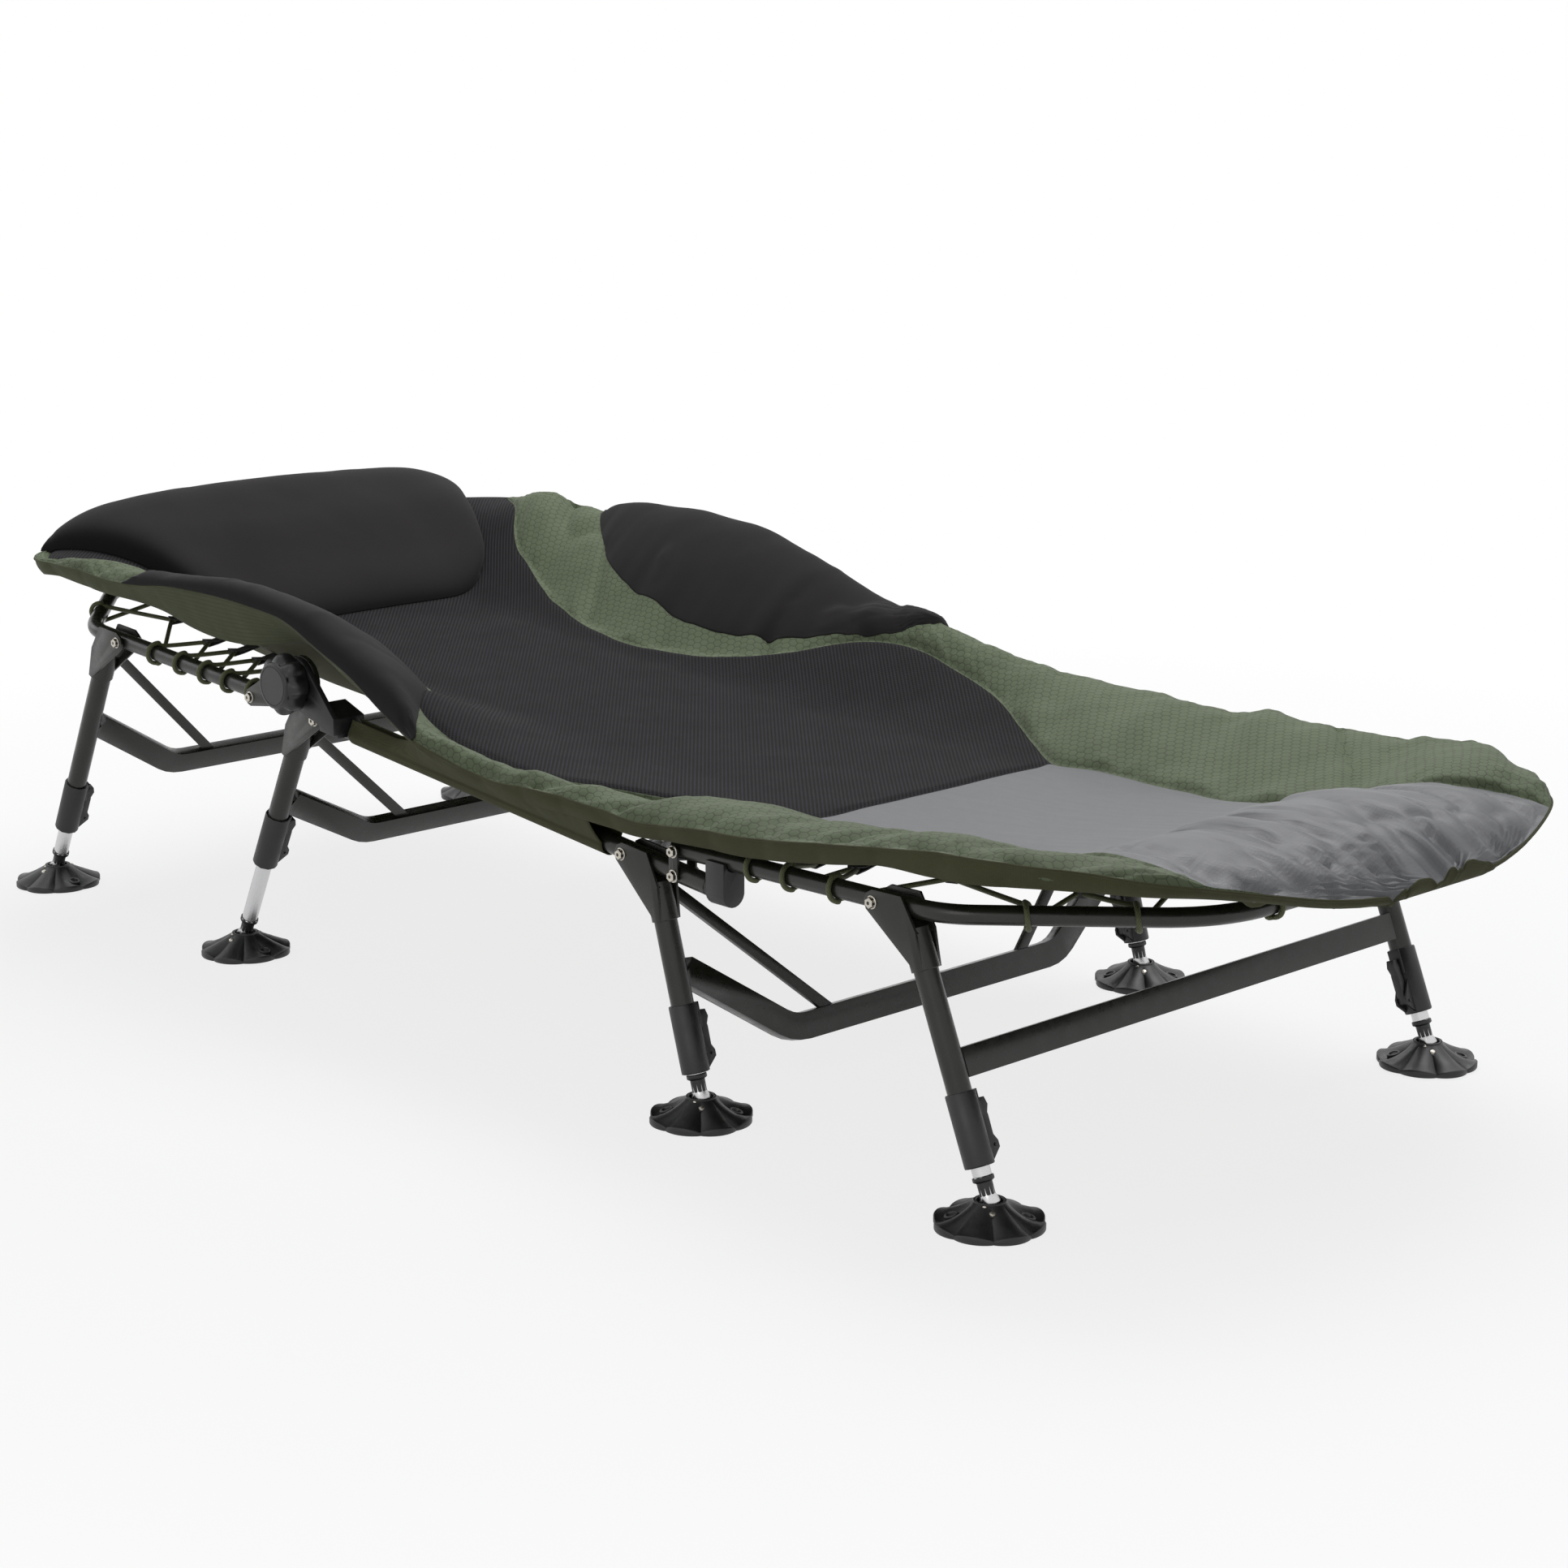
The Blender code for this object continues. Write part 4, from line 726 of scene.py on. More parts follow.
def border_folds(x, away, side, t, width):
    """Puckers that run away from the stitching, and long soft folds across the wide foot border."""
    from_seam = np.exp(-t * width / 0.022)
    from_edge = np.exp(-(1 - t) * width / 0.016)
    gathered = 0.55 + 0.45 * ripple(x * 7, 0.5, 41 + side)
    fold = 0.008 * gathered * creases(x * 46 + 6 * t, away * 9, 51 + side) * (from_seam + 0.8 * from_edge)
    fold += 0.002 * ripples(x * 60, away * 14, 53 + side) * (from_seam + from_edge)
    wide = smooth((width - 0.045) / 0.07)
    slant = x * 0.8 + away * 0.6
    fold += 0.0078 * ripples(slant * 13, (away - x) * 2.2, 61 + side) * wide
    fold += 0.011 * creases(slant * 11 + 0.7, (away - x) * 1.6, 67 + side) * wide
    # Gathers run inwards from the edge's binding
    gather = 0.0075 * creases(x * 19 + 5 * (1 - t), away * 2.5, 73 + side) * np.exp(-(1 - t) * width / 0.05)
    fold += gather * (0.55 + 0.45 * ripple(x * 5, 0.5, 75 + side)) * (0.45 + 0.55 * wide)
    return fold + 0.0013 * ripples(x * 22, away * 22, 71)


def grey_roll(x, y, u):
    """The stuffed roll across the foot end, with creases that run down to the hem."""
    full = 0.0042 * ripples(y * 23 + x * 3, x * 3.5, 93) + 0.004 * (1 - u**4)
    full += 0.0095 * creases(y * 17 + x * 2, x * 2.6, 95)
    full += 0.004 * creases(y * 39 + x * 5, x * 5, 96)
    full += 0.0085 * creases(y * 44, x * 9, 97) * smooth((x - 0.88) / 0.08)
    full += 0.006 * creases(x * 22 + y * 6, y * 9, 99) * smooth((u - 0.66) / 0.28)
    full *= smooth((x - 0.735) / 0.05)
    corner = 0.018 * ridge(y + 0.232, 0.012) * smooth((x - 0.915) / 0.07)
    start = 0.0045 * ridge(x - 0.752 - 0.012 * ripple(y * 7, 0.5, 91), 0.014)
    return full * (1 - u**14) - corner * (1 - u**30) - start * (1 - u**6)


def middle_panel(x, y, u):
    """How proud the middle panel stands, where u is 0 on the middle line and 1 at its seams."""
    centre = 0.0055 * (1 - u**6) + 0.001 * ripples(x * 6, y * 6, 81) * (1 - u**8)
    by_head = smooth((-0.86 - x) / 0.05)
    centre = centre * (1 - by_head) + 0.004 * by_head * (1 - u**8)
    return centre - 0.0042 * ridge(x - GREY_SEAM_X, 0.0055) * (1 - u**10) + grey_roll(x, y, u)


def top_z(x, y):
    """The upper surface, with its panels' fullness, seams and puckers."""
    side = side_of(y)
    away = np.abs(y)
    seam = inner_seam(x, side)
    width = np.maximum(edge_y(x, side) - seam, 1e-4)
    t = np.clip((away - seam) / width, 0, 1)
    full = np.minimum(width / 0.055, 1)
    bulge = hump(t ** np.where(side < 0, 2.5, 1.55), np.where(side < 0, 0.75, 0.46))
    bulge *= border_height(x) * np.where(side < 0, 0.72, 1)
    hold = smooth(t / 0.05) * smooth((1 - t) / 0.04)
    border = (bulge + border_folds(x, away, side, t, width) * hold) * full
    middle = middle_panel(x, y, np.clip(away / np.maximum(seam, 1e-4), 0, 1))
    recess = 0.0032 * ridge(away - seam, 0.0045) * np.minimum(width / 0.02, 1)
    return base_z(x, y) + np.where(away > seam, border, middle) - recess


def bottom_z(x, y):
    out = smooth((np.abs(y) / half_width(x) - 0.3) / 0.62)
    ends = np.maximum(smooth((x - 0.93) / 0.09), smooth((-0.94 - x) / 0.067))
    share = np.maximum(out, ends)
    edge = np.maximum(edge_z(x, side_of(y)) - underside_z(x), THINNEST_EDGE)
    sag = 0.0016 * ripples(x * 9, y * 9, 101) * (1 - share)
    return base_z(x, y) - PAD_THICKNESS - (edge - PAD_THICKNESS) * share + sag


# The mattress

ROW_PITCH = 0.0046
MIDDLE_COLUMNS = 85
BORDER_COLUMNS = 32
UNDERSIDE_INSET = 0.0075
# Footwards of the first, and headwards of the second, a thin border takes the middle's cloth
THIN_NEAR_X = 0.965
THIN_FAR_X = -0.88
AIR_MESH_END_X = -0.985
AIR_MESH_END_Y = 0.305
WING_END_X = -0.118
BAND_PITCH = 0.0032
BAND_STEPS = 7
# How far out and down each ring of the stitched ridge at the edge lies
RIDGE_RINGS = ((0.0009, -0.0001), (0.0019, 0.0006), (0.0021, 0.0016), (0.0013, 0.0026), (0.0001, 0.0032))
MATTRESS_CLOTHS = (MESH, GREY, GREEN, OLIVE, BAND)
ON_MESH, ON_GREY, ON_GREEN, ON_OLIVE, ON_BAND = range(5)


def mattress_grid():
    """Each row's x, and each corner's x and y. The columns run from the near edge to the far one."""
    stops = (MATTRESS_HEAD_X, SPLIT_X, GREY_SEAM_X, MATTRESS_FOOT_X)
    parts = [np.linspace(a, b, round((b - a) / ROW_PITCH), endpoint=False) for a, b in zip(stops, stops[1:])]
    xs = np.concatenate([*parts, [MATTRESS_FOOT_X]])
    middle = np.linspace(-1, 1, MIDDLE_COLUMNS)
    grown = spaced(BORDER_COLUMNS + 1, 0.55)[1:]
    halves = []
    for side, inside in ((-1, -middle[middle < 0][::-1]), (1, middle[middle >= 0])):
        seam = inner_seam(xs, side)[:, None]
        halves.append(np.hstack([seam * inside, seam + (edge_y(xs, side)[:, None] - seam) * grown]))
    y = np.hstack([-halves[0][:, ::-1], halves[1]])
    return xs, np.repeat(xs[:, None], y.shape[1], axis=1), y


def side_rings(rim_top, rim_bottom, run):
    """Rings of corners down the side: a small stitched ridge, then cloth to the underside."""
    tangent = np.roll(rim_top, -2, axis=0) - np.roll(rim_top, 2, axis=0)
    normal = points_of(tangent[:, 1], -tangent[:, 0], 0)
    for _ in range(6):
        normal = (np.roll(normal, 1, axis=0) + 2 * normal + np.roll(normal, -1, axis=0)) / 4
    normal /= np.linalg.norm(normal, axis=1)[:, None]
    rings = [rim_top + normal * out - (0, 0, down) for out, down in RIDGE_RINGS]
    start = rings[-1]
    waves = 0.0022 + 0.0014 * ripples(run * 14, 0.5, 111) + 0.002 * creases(run * 11, 0.5, 113)
    for k in range(1, BAND_STEPS):
        s = k / BAND_STEPS
        rings.append(start + (rim_bottom - start) * s + normal * (math.sin(math.pi * s) * waves)[:, None])
    return rings


def upper_cloths(xs, y, row, column):
    """Each upper face's cloth. A border that is almost gone takes the middle's."""
    last = BORDER_COLUMNS + MIDDLE_COLUMNS - 1
    thin_near = (xs > THIN_NEAR_X) & (y[:, BORDER_COLUMNS] - y[:, 0] < THIN_BORDER)
    thin_far = (xs < THIN_FAR_X) & (y[:, -1] - y[:, last] < THIN_BORDER)
    on_near = column < BORDER_COLUMNS
    plain = ~on_near & (column < last) | thin_near[row] & on_near | thin_far[row] & ~on_near
    return np.where(plain, np.where(xs[row] < GREY_SEAM_X - 1e-6, ON_MESH, ON_GREY), ON_GREEN)


def corner_normals(corners, faces):
    a, b, c, d = (corners[faces[:, k]] for k in range(4))
    normals = np.zeros_like(corners)
    for k in range(4):
        np.add.at(normals, faces[:, k], np.cross(c - a, d - b))
    return normals / np.maximum(np.linalg.norm(normals, axis=1), 1e-12)[:, None]


def mattress_half(name, corners, normals, faces, cloths, flat, section):
    """One half, closed by a last face across the cut. It keeps the whole mattress's normals."""
    used = np.unique(np.concatenate([faces.ravel(), section]))
    renumber = np.zeros(len(corners), int)
    renumber[used] = np.arange(len(used))
    all_faces = renumber[faces].tolist() + [renumber[section].tolist()]
    uv = np.concatenate([flat.reshape(-1, 2), np.zeros((len(section), 2))])
    item = mesh_object(name, corners[used], all_faces, MATTRESS_CLOTHS, np.append(cloths, ON_OLIVE), uv)
    item.data.normals_split_custom_set_from_vertices(normals[used].tolist())
    return item


def build_mattress():
    xs, x, y = mattress_grid()
    rows, columns = x.shape
    z = top_z(x, y)
    low_x = x * (1 - UNDERSIDE_INSET / HALF_LENGTH)
    low_y = y * (1 - (UNDERSIDE_INSET + 0.018 * wing(x)) / half_width(x))
    top = points_of(x, y, z)
    bottom = points_of(low_x, low_y, np.minimum(bottom_z(x, y), z - 0.008))
    rim_top = rim_of(top)
    steps = np.linalg.norm(np.diff(rim_top, axis=0, append=rim_top[:1]), axis=1)
    run = np.concatenate([[0], np.cumsum(steps)])
    rings = side_rings(rim_top, rim_of(bottom), run[:-1])
    corners = np.concatenate([top.reshape(-1, 3), bottom.reshape(-1, 3), *rings])
    top_index = np.arange(rows * columns).reshape(rows, columns)
    bottom_index = top_index + rows * columns
    ring_index = np.arange(2 * rows * columns, len(corners)).reshape(len(rings), -1)

    # Each part's faces, cloths, cloth map and rows
    row, column = (part.ravel() for part in np.indices((rows - 1, columns - 1)))
    lengths = np.hypot(np.diff(y, axis=1, prepend=y[:, :1]), np.diff(z, axis=1, prepend=z[:, :1]))
    across = np.cumsum(lengths, axis=1)
    across -= across[:, [columns // 2]]
    upper, under = quads(top_index), quads(bottom_index, flip=True)
    parts = [
        (upper, upper_cloths(xs, y, row, column), points_of(x, across).reshape(-1, 2)[upper], row),
        (under, np.full(len(under), ON_OLIVE), corners[under][:, :, :2], row),
    ]
    # The head end is wrapped in air mesh, and each face belongs to the lower of its two rows
    rim_row = rim_of(np.indices(x.shape)[0])
    low_row = np.minimum(rim_row, np.roll(rim_row, -1))
    at_head = (rim_top[:, 0] < AIR_MESH_END_X) & (np.abs(rim_top[:, 1]) < AIR_MESH_END_Y)
    cloths = np.where(at_head, ON_MESH, np.where(rim_top[:, 0] < WING_END_X, ON_BAND, ON_OLIVE))
    along = np.stack([run[:-1], run[:-1], run[1:], run[1:]], axis=1)
    order = [rim_of(top_index), *ring_index, rim_of(bottom_index)]
    for k, (a, b) in enumerate(zip(order, order[1:])):
        down = BAND_PITCH * np.array([k, k + 1, k + 1, k])
        parts.append((band_between(a, b), cloths, points_of(along, down), low_row))
    faces, cloths, flat, row = (np.concatenate(kind) for kind in zip(*parts))
    normals = corner_normals(corners, faces)

    # The cross-section where the halves meet
    split = int(np.argmin(np.abs(xs - SPLIT_X)))
    far_split = 2 * rows + columns - 3 - split
    section = np.concatenate([
        top_index[split], ring_index[:, far_split], bottom_index[split, ::-1], ring_index[::-1, split],
    ])
    pieces = []
    for name, mine, cut in (
        ("mattress_head_half", row < split, section),
        ("mattress_foot_half", row >= split, section[::-1]),
    ):
        pieces.append(mattress_half(name, corners, normals, faces[mine], cloths[mine], flat[mine], cut))
    return pieces


def cushion_object(name, upper, lower, material):
    """A closed pad between two grids of points that meet at their rims."""
    top_index = np.arange(upper.size // 3).reshape(upper.shape[:2])
    bottom_index = top_index + top_index.size
    band = band_between(rim_of(top_index), rim_of(bottom_index))
    faces = np.concatenate([quads(top_index), quads(bottom_index, flip=True), band])
    corners = np.concatenate([upper.reshape(-1, 3), lower.reshape(-1, 3)])
    return mesh_object(name, corners, faces.tolist(), (material,), None, corners[faces][:, :, :2])


# Side bolsters

bolster_inner_y = line((
    (-697, 393), (-669, 360), (-615, 315), (-560, 283), (-477, 248), (-387, 228), (-318, 228),
    (-255, 256), (-190, 318), (-123, 376), (-98, 397),
))
bolster_crown_z = line((
    (-697, 454), (-670, 468), (-600, 471), (-520, 474.5), (-430, 469), (-357, 460), (-300, 452),
    (-227, 431), (-180, 416), (-127, 386), (-98, 356),
))
far_bolster_inner_y = line((
    (-700, 390), (-676, 366), (-620, 323), (-567, 288), (-498, 262), (-418, 245), (-339, 238),
    (-243, 256), (-175, 284), (-114, 315), (-59, 348), (-29, 374), (-10, 399),
))
far_bolster_crown_z = line((
    (-700, 456), (-670, 470), (-630, 477.5), (-560, 479), (-495, 478.5), (-430, 472), (-371, 465),
    (-301, 451), (-239, 439), (-165, 417), (-75, 397), (-10, 376),
))
# Each side's ends, inner edge and crown. The far bolster reaches further towards the foot
BOLSTERS = {
    -1: (-0.697, -0.098, bolster_inner_y, bolster_crown_z),
    1: (-0.7, -0.012, far_bolster_inner_y, far_bolster_crown_z),
}
BOLSTER_CREST = 0.66


def build_bolster(name, side):
    head, tail, inner_line, crown_line = BOLSTERS[side]
    rows = head + (tail - head) * spaced(131, 0.5)[:, None]
    t = spaced(49, 0.6)[None, :]
    x = rows + 0 * t
    inner = inner_line(rows)
    away = inner + (edge_y(rows, side) + 0.003 - inner) * t
    bed = top_z(x, side * np.minimum(away, edge_y(x, side) - 0.0008))
    inner_z = top_z(rows, side * inner) + 0.0006
    outer_z = edge_z(rows, side) + 0.001
    crown = np.maximum(crown_line(rows) - (inner_z + (outer_z - inner_z) * BOLSTER_CREST), 0.004)
    shape = hump(t ** (math.log(0.5) / math.log(BOLSTER_CREST)), 0.52)
    tips = np.minimum(smooth((rows - head + 0.002) / 0.03), smooth((tail + 0.0015 - rows) / 0.03))
    soft = 0.0014 * ripples(x * 11, away * 11, 121 + side)
    soft += 0.0016 * creases(x * 9 + away * 5, away * 8, 127 + side)
    upper_z = inner_z + (outer_z - inner_z) * t + (crown + soft * shape) * shape * tips
    upper_z = np.maximum(upper_z, bed + 0.009 * np.minimum(1.6 * shape, 1) * tips)
    lower_z = np.minimum(bed + 0.0006, upper_z - 0.0006)
    lower_z = np.where(t > 0.999, outer_z - 0.0012, lower_z)
    upper_z = np.maximum(upper_z, lower_z + 0.0008)
    upper, lower = (points_of(x, side * away, z) for z in (upper_z, lower_z))
    if side < 0:
        upper, lower = upper[:, ::-1], lower[:, ::-1]
    return cushion_object(name, upper, lower, STRETCH)


# Pillow

PILLOW_FOOT_X = -0.724
PILLOW_HEIGHT = 0.06
PILLOW_HEAD_HALF = 0.357
PILLOW_FOOT_HALF = 0.232


def build_pillow():
    """p runs from the head to the foot and q from the near side to the far one, both from -1 to 1."""
    even = [np.linspace(-1, 1, count) for count in (91, 141)]
    p, q = np.meshgrid(*(np.sign(a) * (1 - (1 - np.abs(a)) ** 1.5) for a in even), indexing="ij")
    share = (p + 1) / 2
    out = np.abs(q)
    width = PILLOW_HEAD_HALF + (PILLOW_FOOT_HALF - PILLOW_HEAD_HALF) * share**0.8
    corner = 1 - 0.085 * np.abs(p) ** 7 * (p > 0) - 0.012 * np.abs(p) ** 5 * (p < 0)
    y = q * width * corner
    front = PILLOW_FOOT_X - 0.012 * out**4 - 0.02 * out**10
    head = HEAD_CURVE_X - HEAD_CURVE_DEPTH * (1 - (out * 0.352 / HALF_WIDTH) ** 2.4) ** (1 / 2.4)
    head = np.maximum(head, 0.01 * out**4 - HALF_LENGTH) - 0.006
    x = head + (front - head) * share
    x = x + 0.0035 * ripple(q * 3, 0.5, 131) * (p > 0) * np.abs(p) ** 4
    lengthwise = np.clip(1 - np.abs(p) ** 2.7, 0, 1) ** np.where(p < 0, 0.36, 0.47)
    crosswise = np.clip(1 - out ** np.where(q < 0, 3.6, 4.4), 0, 1) ** np.where(q < 0, 0.27, 0.46)
    dome = lengthwise * crosswise
    held = np.clip(x, MATTRESS_HEAD_X, None)
    reach = half_width(held) - 0.006
    bed = top_z(held, np.clip(y, -reach, reach))
    soft = 0.0016 * ripples(x * 7, y * 7, 133) * dome
    soft += 0.002 * creases(x * 5 + y * 3, y * 4, 137) * dome * (1 - dome) * 4
    upper_z = bed + 0.0015 + PILLOW_HEIGHT * (1 - 0.12 * p) * dome + soft
    return cushion_object("pillow_pad", points_of(x, y, upper_z), points_of(x, y, bed + 0.0007), STRETCH)


# Cloth sleeves that hang from the mattress round the seat rails

SLEEVE_HEAD_X = -0.262
SLEEVE_FOOT_X = 0.198
SLEEVE_GAP = 0.0022
SLEEVE_HALF = 0.0006


def build_sleeve(name, side):
    x = np.linspace(SLEEVE_HEAD_X, SLEEVE_FOOT_X, 111)[:, None]
    radius = SEAT_RAIL_RADIUS + SLEEVE_GAP
    angles = np.radians(np.linspace(8, -188, 30))
    round_y = RAIL_Y + radius * np.cos(angles) + 0 * x
    round_z = seat_rail_z(x) + radius * np.sin(angles)
    # The sleeve closes over the rail at its head end, and from there spreads up to the mattress
    spread = smooth((x + 0.185) / 0.11)
    rail_top = seat_rail_z(x) + radius + 0.004
    outer_y = RAIL_Y + 0.006 + (edge_y(x, side) - RAIL_Y - 0.012) * spread
    outer_z = rail_top + (underside_z(x) + 0.006 - rail_top) * spread
    inner_y = RAIL_Y - 0.004 - 0.022 * spread
    inner_z = rail_top + (bottom_z(x, side * (RAIL_Y - 0.026) + 0 * x) + 0.004 - rail_top) * spread
    wave = 0.0016 * ripples(x * 24, 0.5, 141 + side) + 0.0022 * creases(x * 13, 0.5, 143 + side)
    down = np.arange(12) / 12
    up = np.arange(1, 8) / 7
    bow = np.sin(math.pi * down) * (0.0015 + wave)
    first_y, first_z, last_y, last_z = round_y[:, :1], round_z[:, :1], round_y[:, -1:], round_z[:, -1:]
    y = np.hstack([outer_y + (first_y - outer_y) * down + bow, round_y, last_y + (inner_y - last_y) * up])
    z = np.hstack([outer_z + (first_z - outer_z) * down, round_z, last_z + (inner_z - last_z) * up])
    grid = points_of(x, side * y, z)
    if side > 0:
        grid = grid[:, ::-1]
    normal = np.cross(np.gradient(grid, axis=0), np.gradient(grid, axis=1))
    normal /= np.maximum(np.linalg.norm(normal, axis=2), 1e-12)[:, :, None]
    normal *= SLEEVE_HALF
    return cushion_object(name, grid + normal, grid - normal, OLIVE)


mattress_pieces = build_mattress()
for item, first, second, start, end in (
    (mattress_pieces[0], "back_section", "seat_section", -0.5, -0.2),
    (mattress_pieces[1], "seat_section", "foot_section", 0.22, 0.41),
):
    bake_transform(item)
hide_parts("mattress_back", "mattress_seat")
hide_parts("mattress_foot", "mattress_seat")

for label, side in SIDES:
    bolster = build_bolster(f"side_bolster_pad_{label}", side)
    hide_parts(f"side_bolster_{label}")
    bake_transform(bolster)
    sleeve = build_sleeve(f"rail_sleeve_cloth_{label}", side)
    placed(sleeve, "sleeve_cloth", "seat_section", f"rail_sleeve_{label}")

pillow = build_pillow()
placed(pillow, "black_cloth", "back_section", "pillow")


# CAD nodes: finishes, rounded edges

REPLACED = ("mattress", "pillow", "side_bolster", "rail_sleeve", "back_lacing", "foot_lacing")
# What a node's name starts with, its material, and how wide its rounded edges are
FINISHES = (
    (("inner_leg",), ALUMINIUM, 0),
    (("leg_clamp", "clamp_lever"), PLASTIC, 0.0006),
    (("mud_foot", "recline_knob", "recliner_hub", "foot_rail_saddle"), PLASTIC, 0.001),
    (("",), PAINT, 0.0007),
)


def dress_node(item, material, width):
    item.data.materials.clear()
    item.data.materials.append(material)
    item.data.shade_smooth()
    item.data.set_sharp_from_angle(angle=math.radians(38))
    item.modifiers.new("weld", "WELD").merge_threshold = 0.00002
    if width:
        bevel = item.modifiers.new("edges", "BEVEL")
        bevel.width = width
        bevel.segments = 2
        bevel.limit_method = "ANGLE"
        bevel.angle_limit = math.radians(42)
        bevel.use_clamp_overlap = True
        bevel.harden_normals = False


for name in NODES:
    if not name.startswith(REPLACED):
        _, material, width = next(finish for finish in FINISHES if name.startswith(finish[0]))
        dress_node(NODES[name], material, width)


# Smooth tubes over the frame's round members

def end_path(rail_z, start_x, corner_x, end_x, end_y, rise, radii):
    """The bent tube of an end frame, from its near hinge round the end to the far one."""
    corner_z = rail_z(corner_x)
    half = rounded([
        Vector((start_x, -RAIL_Y, rail_z(start_x))),
        Vector((corner_x, -RAIL_Y, corner_z)),
        Vector((end_x, -end_y, corner_z + rise)),
        Vector((end_x, 0, corner_z + rise)),
    ], radii)[:-1]
    return half + [Vector((point.x, -point.y, point.z)) for point in reversed(half)]


def skin(name, path, radius, body):
    pile = Pile()
    pile.tube(path, radius + 0.0001, 40)
    placed(pile.made(name, (PAINT,), 50), "frame_paint", body)


BACK_PATH = end_path(
    back_rail_z, start_x=BACK_BOLT.x + 0.0425, corner_x=-0.843,
    end_x=-0.943, end_y=0.262, rise=0.0295, radii=(0.06, 0.06),
)
FOOT_PATH = end_path(
    foot_rail_z, start_x=FOOT_HINGE.x - 0.0098, corner_x=0.694,
    end_x=0.891, end_y=0.172, rise=0, radii=(0.08, 0.15),
)
SEAT_RAIL_STOPS = (-0.3527, -0.05, 0.3585)
for label, side in SIDES:
    ends = [Vector((x, side * RAIL_Y, seat_rail_z(x))) for x in SEAT_RAIL_STOPS]
    skin(f"seat_rail_tube_{label}", ends, SEAT_RAIL_RADIUS, "seat_section")
skin("back_frame_tube", BACK_PATH, END_RAIL_RADIUS, "back_section")
skin("foot_frame_tube", FOOT_PATH, END_RAIL_RADIUS, "foot_section")


# Legs

EAR_OUTER = SEAT_RAIL_RADIUS + 0.001 + 0.003
HINGE_OUTER = SEAT_RAIL_RADIUS + 0.0005 + 0.0026
BOLT_RADIUS = 0.0062
TUBE_IN_CLAMP = 0.004
CLAMP_BORE_DEPTH = 0.04
INNER_TUBE_LENGTH = 0.15
# How much of each inner leg's tube shows below its clamp
INNER_LEG_SHOWN = {1: 0.04035, 2: 0.08802, 3: 0.00168, 4: 0.01}


def leg_axes(number):
    """The leg's up direction, the point of its axis beside the bolt, and how far the ball is from there."""
    up = Vector(JOINTS[f"inner_leg_{number}_right_slide"]["axis"]).normalized()
    lean_side = -1 if number < 3 else 1
    out = Vector((lean_side * up.z, 0, abs(up.x)))
    top = BOLTS[number] + out * BRACKET_OFFSET
    ball = joint_place(f"mud_foot_{number}_right_tilt")
    return up, top, (top.z - ball.z) / up.z


def hollow_piece(name, rings, at, material, sharp, slot, body, sides=40):
    pile = Pile()
    pile.turned(rings, at, sides, hollow=True)
    placed(pile.made(name, (material,), sharp), slot, body)


def build_inner_leg(number, label, at):
    """Aluminium tube, black flange and stem, up from the ball."""
    flange_top = STEM_LENGTH + FLANGE_THICKNESS
    wall = INNER_LEG_RADIUS + 0.0001
    stem = STEM_RADIUS + 0.0001
    flange = FLANGE_RADIUS + 0.0001
    pile = Pile()
    pile.turned(
        [(INNER_LEG_RADIUS * 0.9, flange_top), (wall, flange_top + 0.0004),
         (wall, flange_top + INNER_TUBE_LENGTH), (INNER_LEG_RADIUS * 0.9, flange_top + INNER_TUBE_LENGTH)],
        at, 40,
    )
    pile.turned(
        [(STEM_RADIUS * 0.98, 0.006), (stem, STEM_LENGTH - 0.002), (flange - 0.0005, STEM_LENGTH - 0.0006),
         (flange, STEM_LENGTH), (flange, flange_top - 0.0006), (flange - 0.0007, flange_top + 0.0001)],
        at, 40, 1,
    )
    item = pile.made(f"inner_leg_tube_{number}_{label}", (ALUMINIUM, PLASTIC), 40)
    placed(item, "bare_metal", f"inner_leg_{number}_{label}")


def build_leg(number, label, side, up, top, drop):
    """Leg tube, the socket at its top, inner leg and clamp sleeve."""
    body = f"leg_pair_{number}"
    axis = top + Vector((0, side * RAIL_Y, 0))
    ball = axis - up * drop
    clamp_low = ball + up * (STEM_LENGTH + FLANGE_THICKNESS + INNER_LEG_SHOWN[number])
    low = clamp_low + up * (CLAMP_LENGTH - TUBE_IN_CLAMP)
    length = (axis - up * LEG_TOP - low).length
    bore = INNER_LEG_RADIUS + 0.0012
    skin_radius = LEG_RADIUS + 0.00012
    rings = [(bore, 0), (skin_radius, 0), (skin_radius, length), (bore, length)]
    hollow_piece(f"leg_tube_{number}_{label}", rings, facing(low, up), PAINT, 50, "frame_paint", body)
    wall = skin_radius + SOCKET_WALL
    lip = SOCKET_LENGTH + 0.0006
    rings = [
        (LEG_RADIUS, 0), (wall - 0.0006, 0), (wall, 0.0007),
        (wall, SOCKET_LENGTH), (wall - 0.0008, lip), (LEG_RADIUS, lip),
    ]
    at = facing(axis - up * (LEG_TOP + SOCKET_LENGTH), up)
    hollow_piece(f"leg_socket_{number}_{label}", rings, at, PAINT, 40, "frame_paint", body)
    build_inner_leg(number, label, facing(ball, up))
    sleeve = CLAMP_RADIUS + 0.00015
    rings = [
        (INNER_LEG_RADIUS + 0.0007, -0.0001), (sleeve - 0.0012, -0.0001), (sleeve, 0.0011),
        (sleeve, CLAMP_LENGTH - 0.0012), (sleeve - 0.001, CLAMP_LENGTH + 0.0001),
        (LEG_RADIUS + 0.0003, CLAMP_LENGTH + 0.0001), (LEG_RADIUS + 0.0003, CLAMP_LENGTH - CLAMP_BORE_DEPTH),
        (INNER_LEG_RADIUS + 0.0007, CLAMP_LENGTH - CLAMP_BORE_DEPTH - 0.001),
    ]
    at = facing(clamp_low, up)
    hollow_piece(f"clamp_sleeve_{number}_{label}", rings, at, PLASTIC, 40, "black_plastic", body, 48)


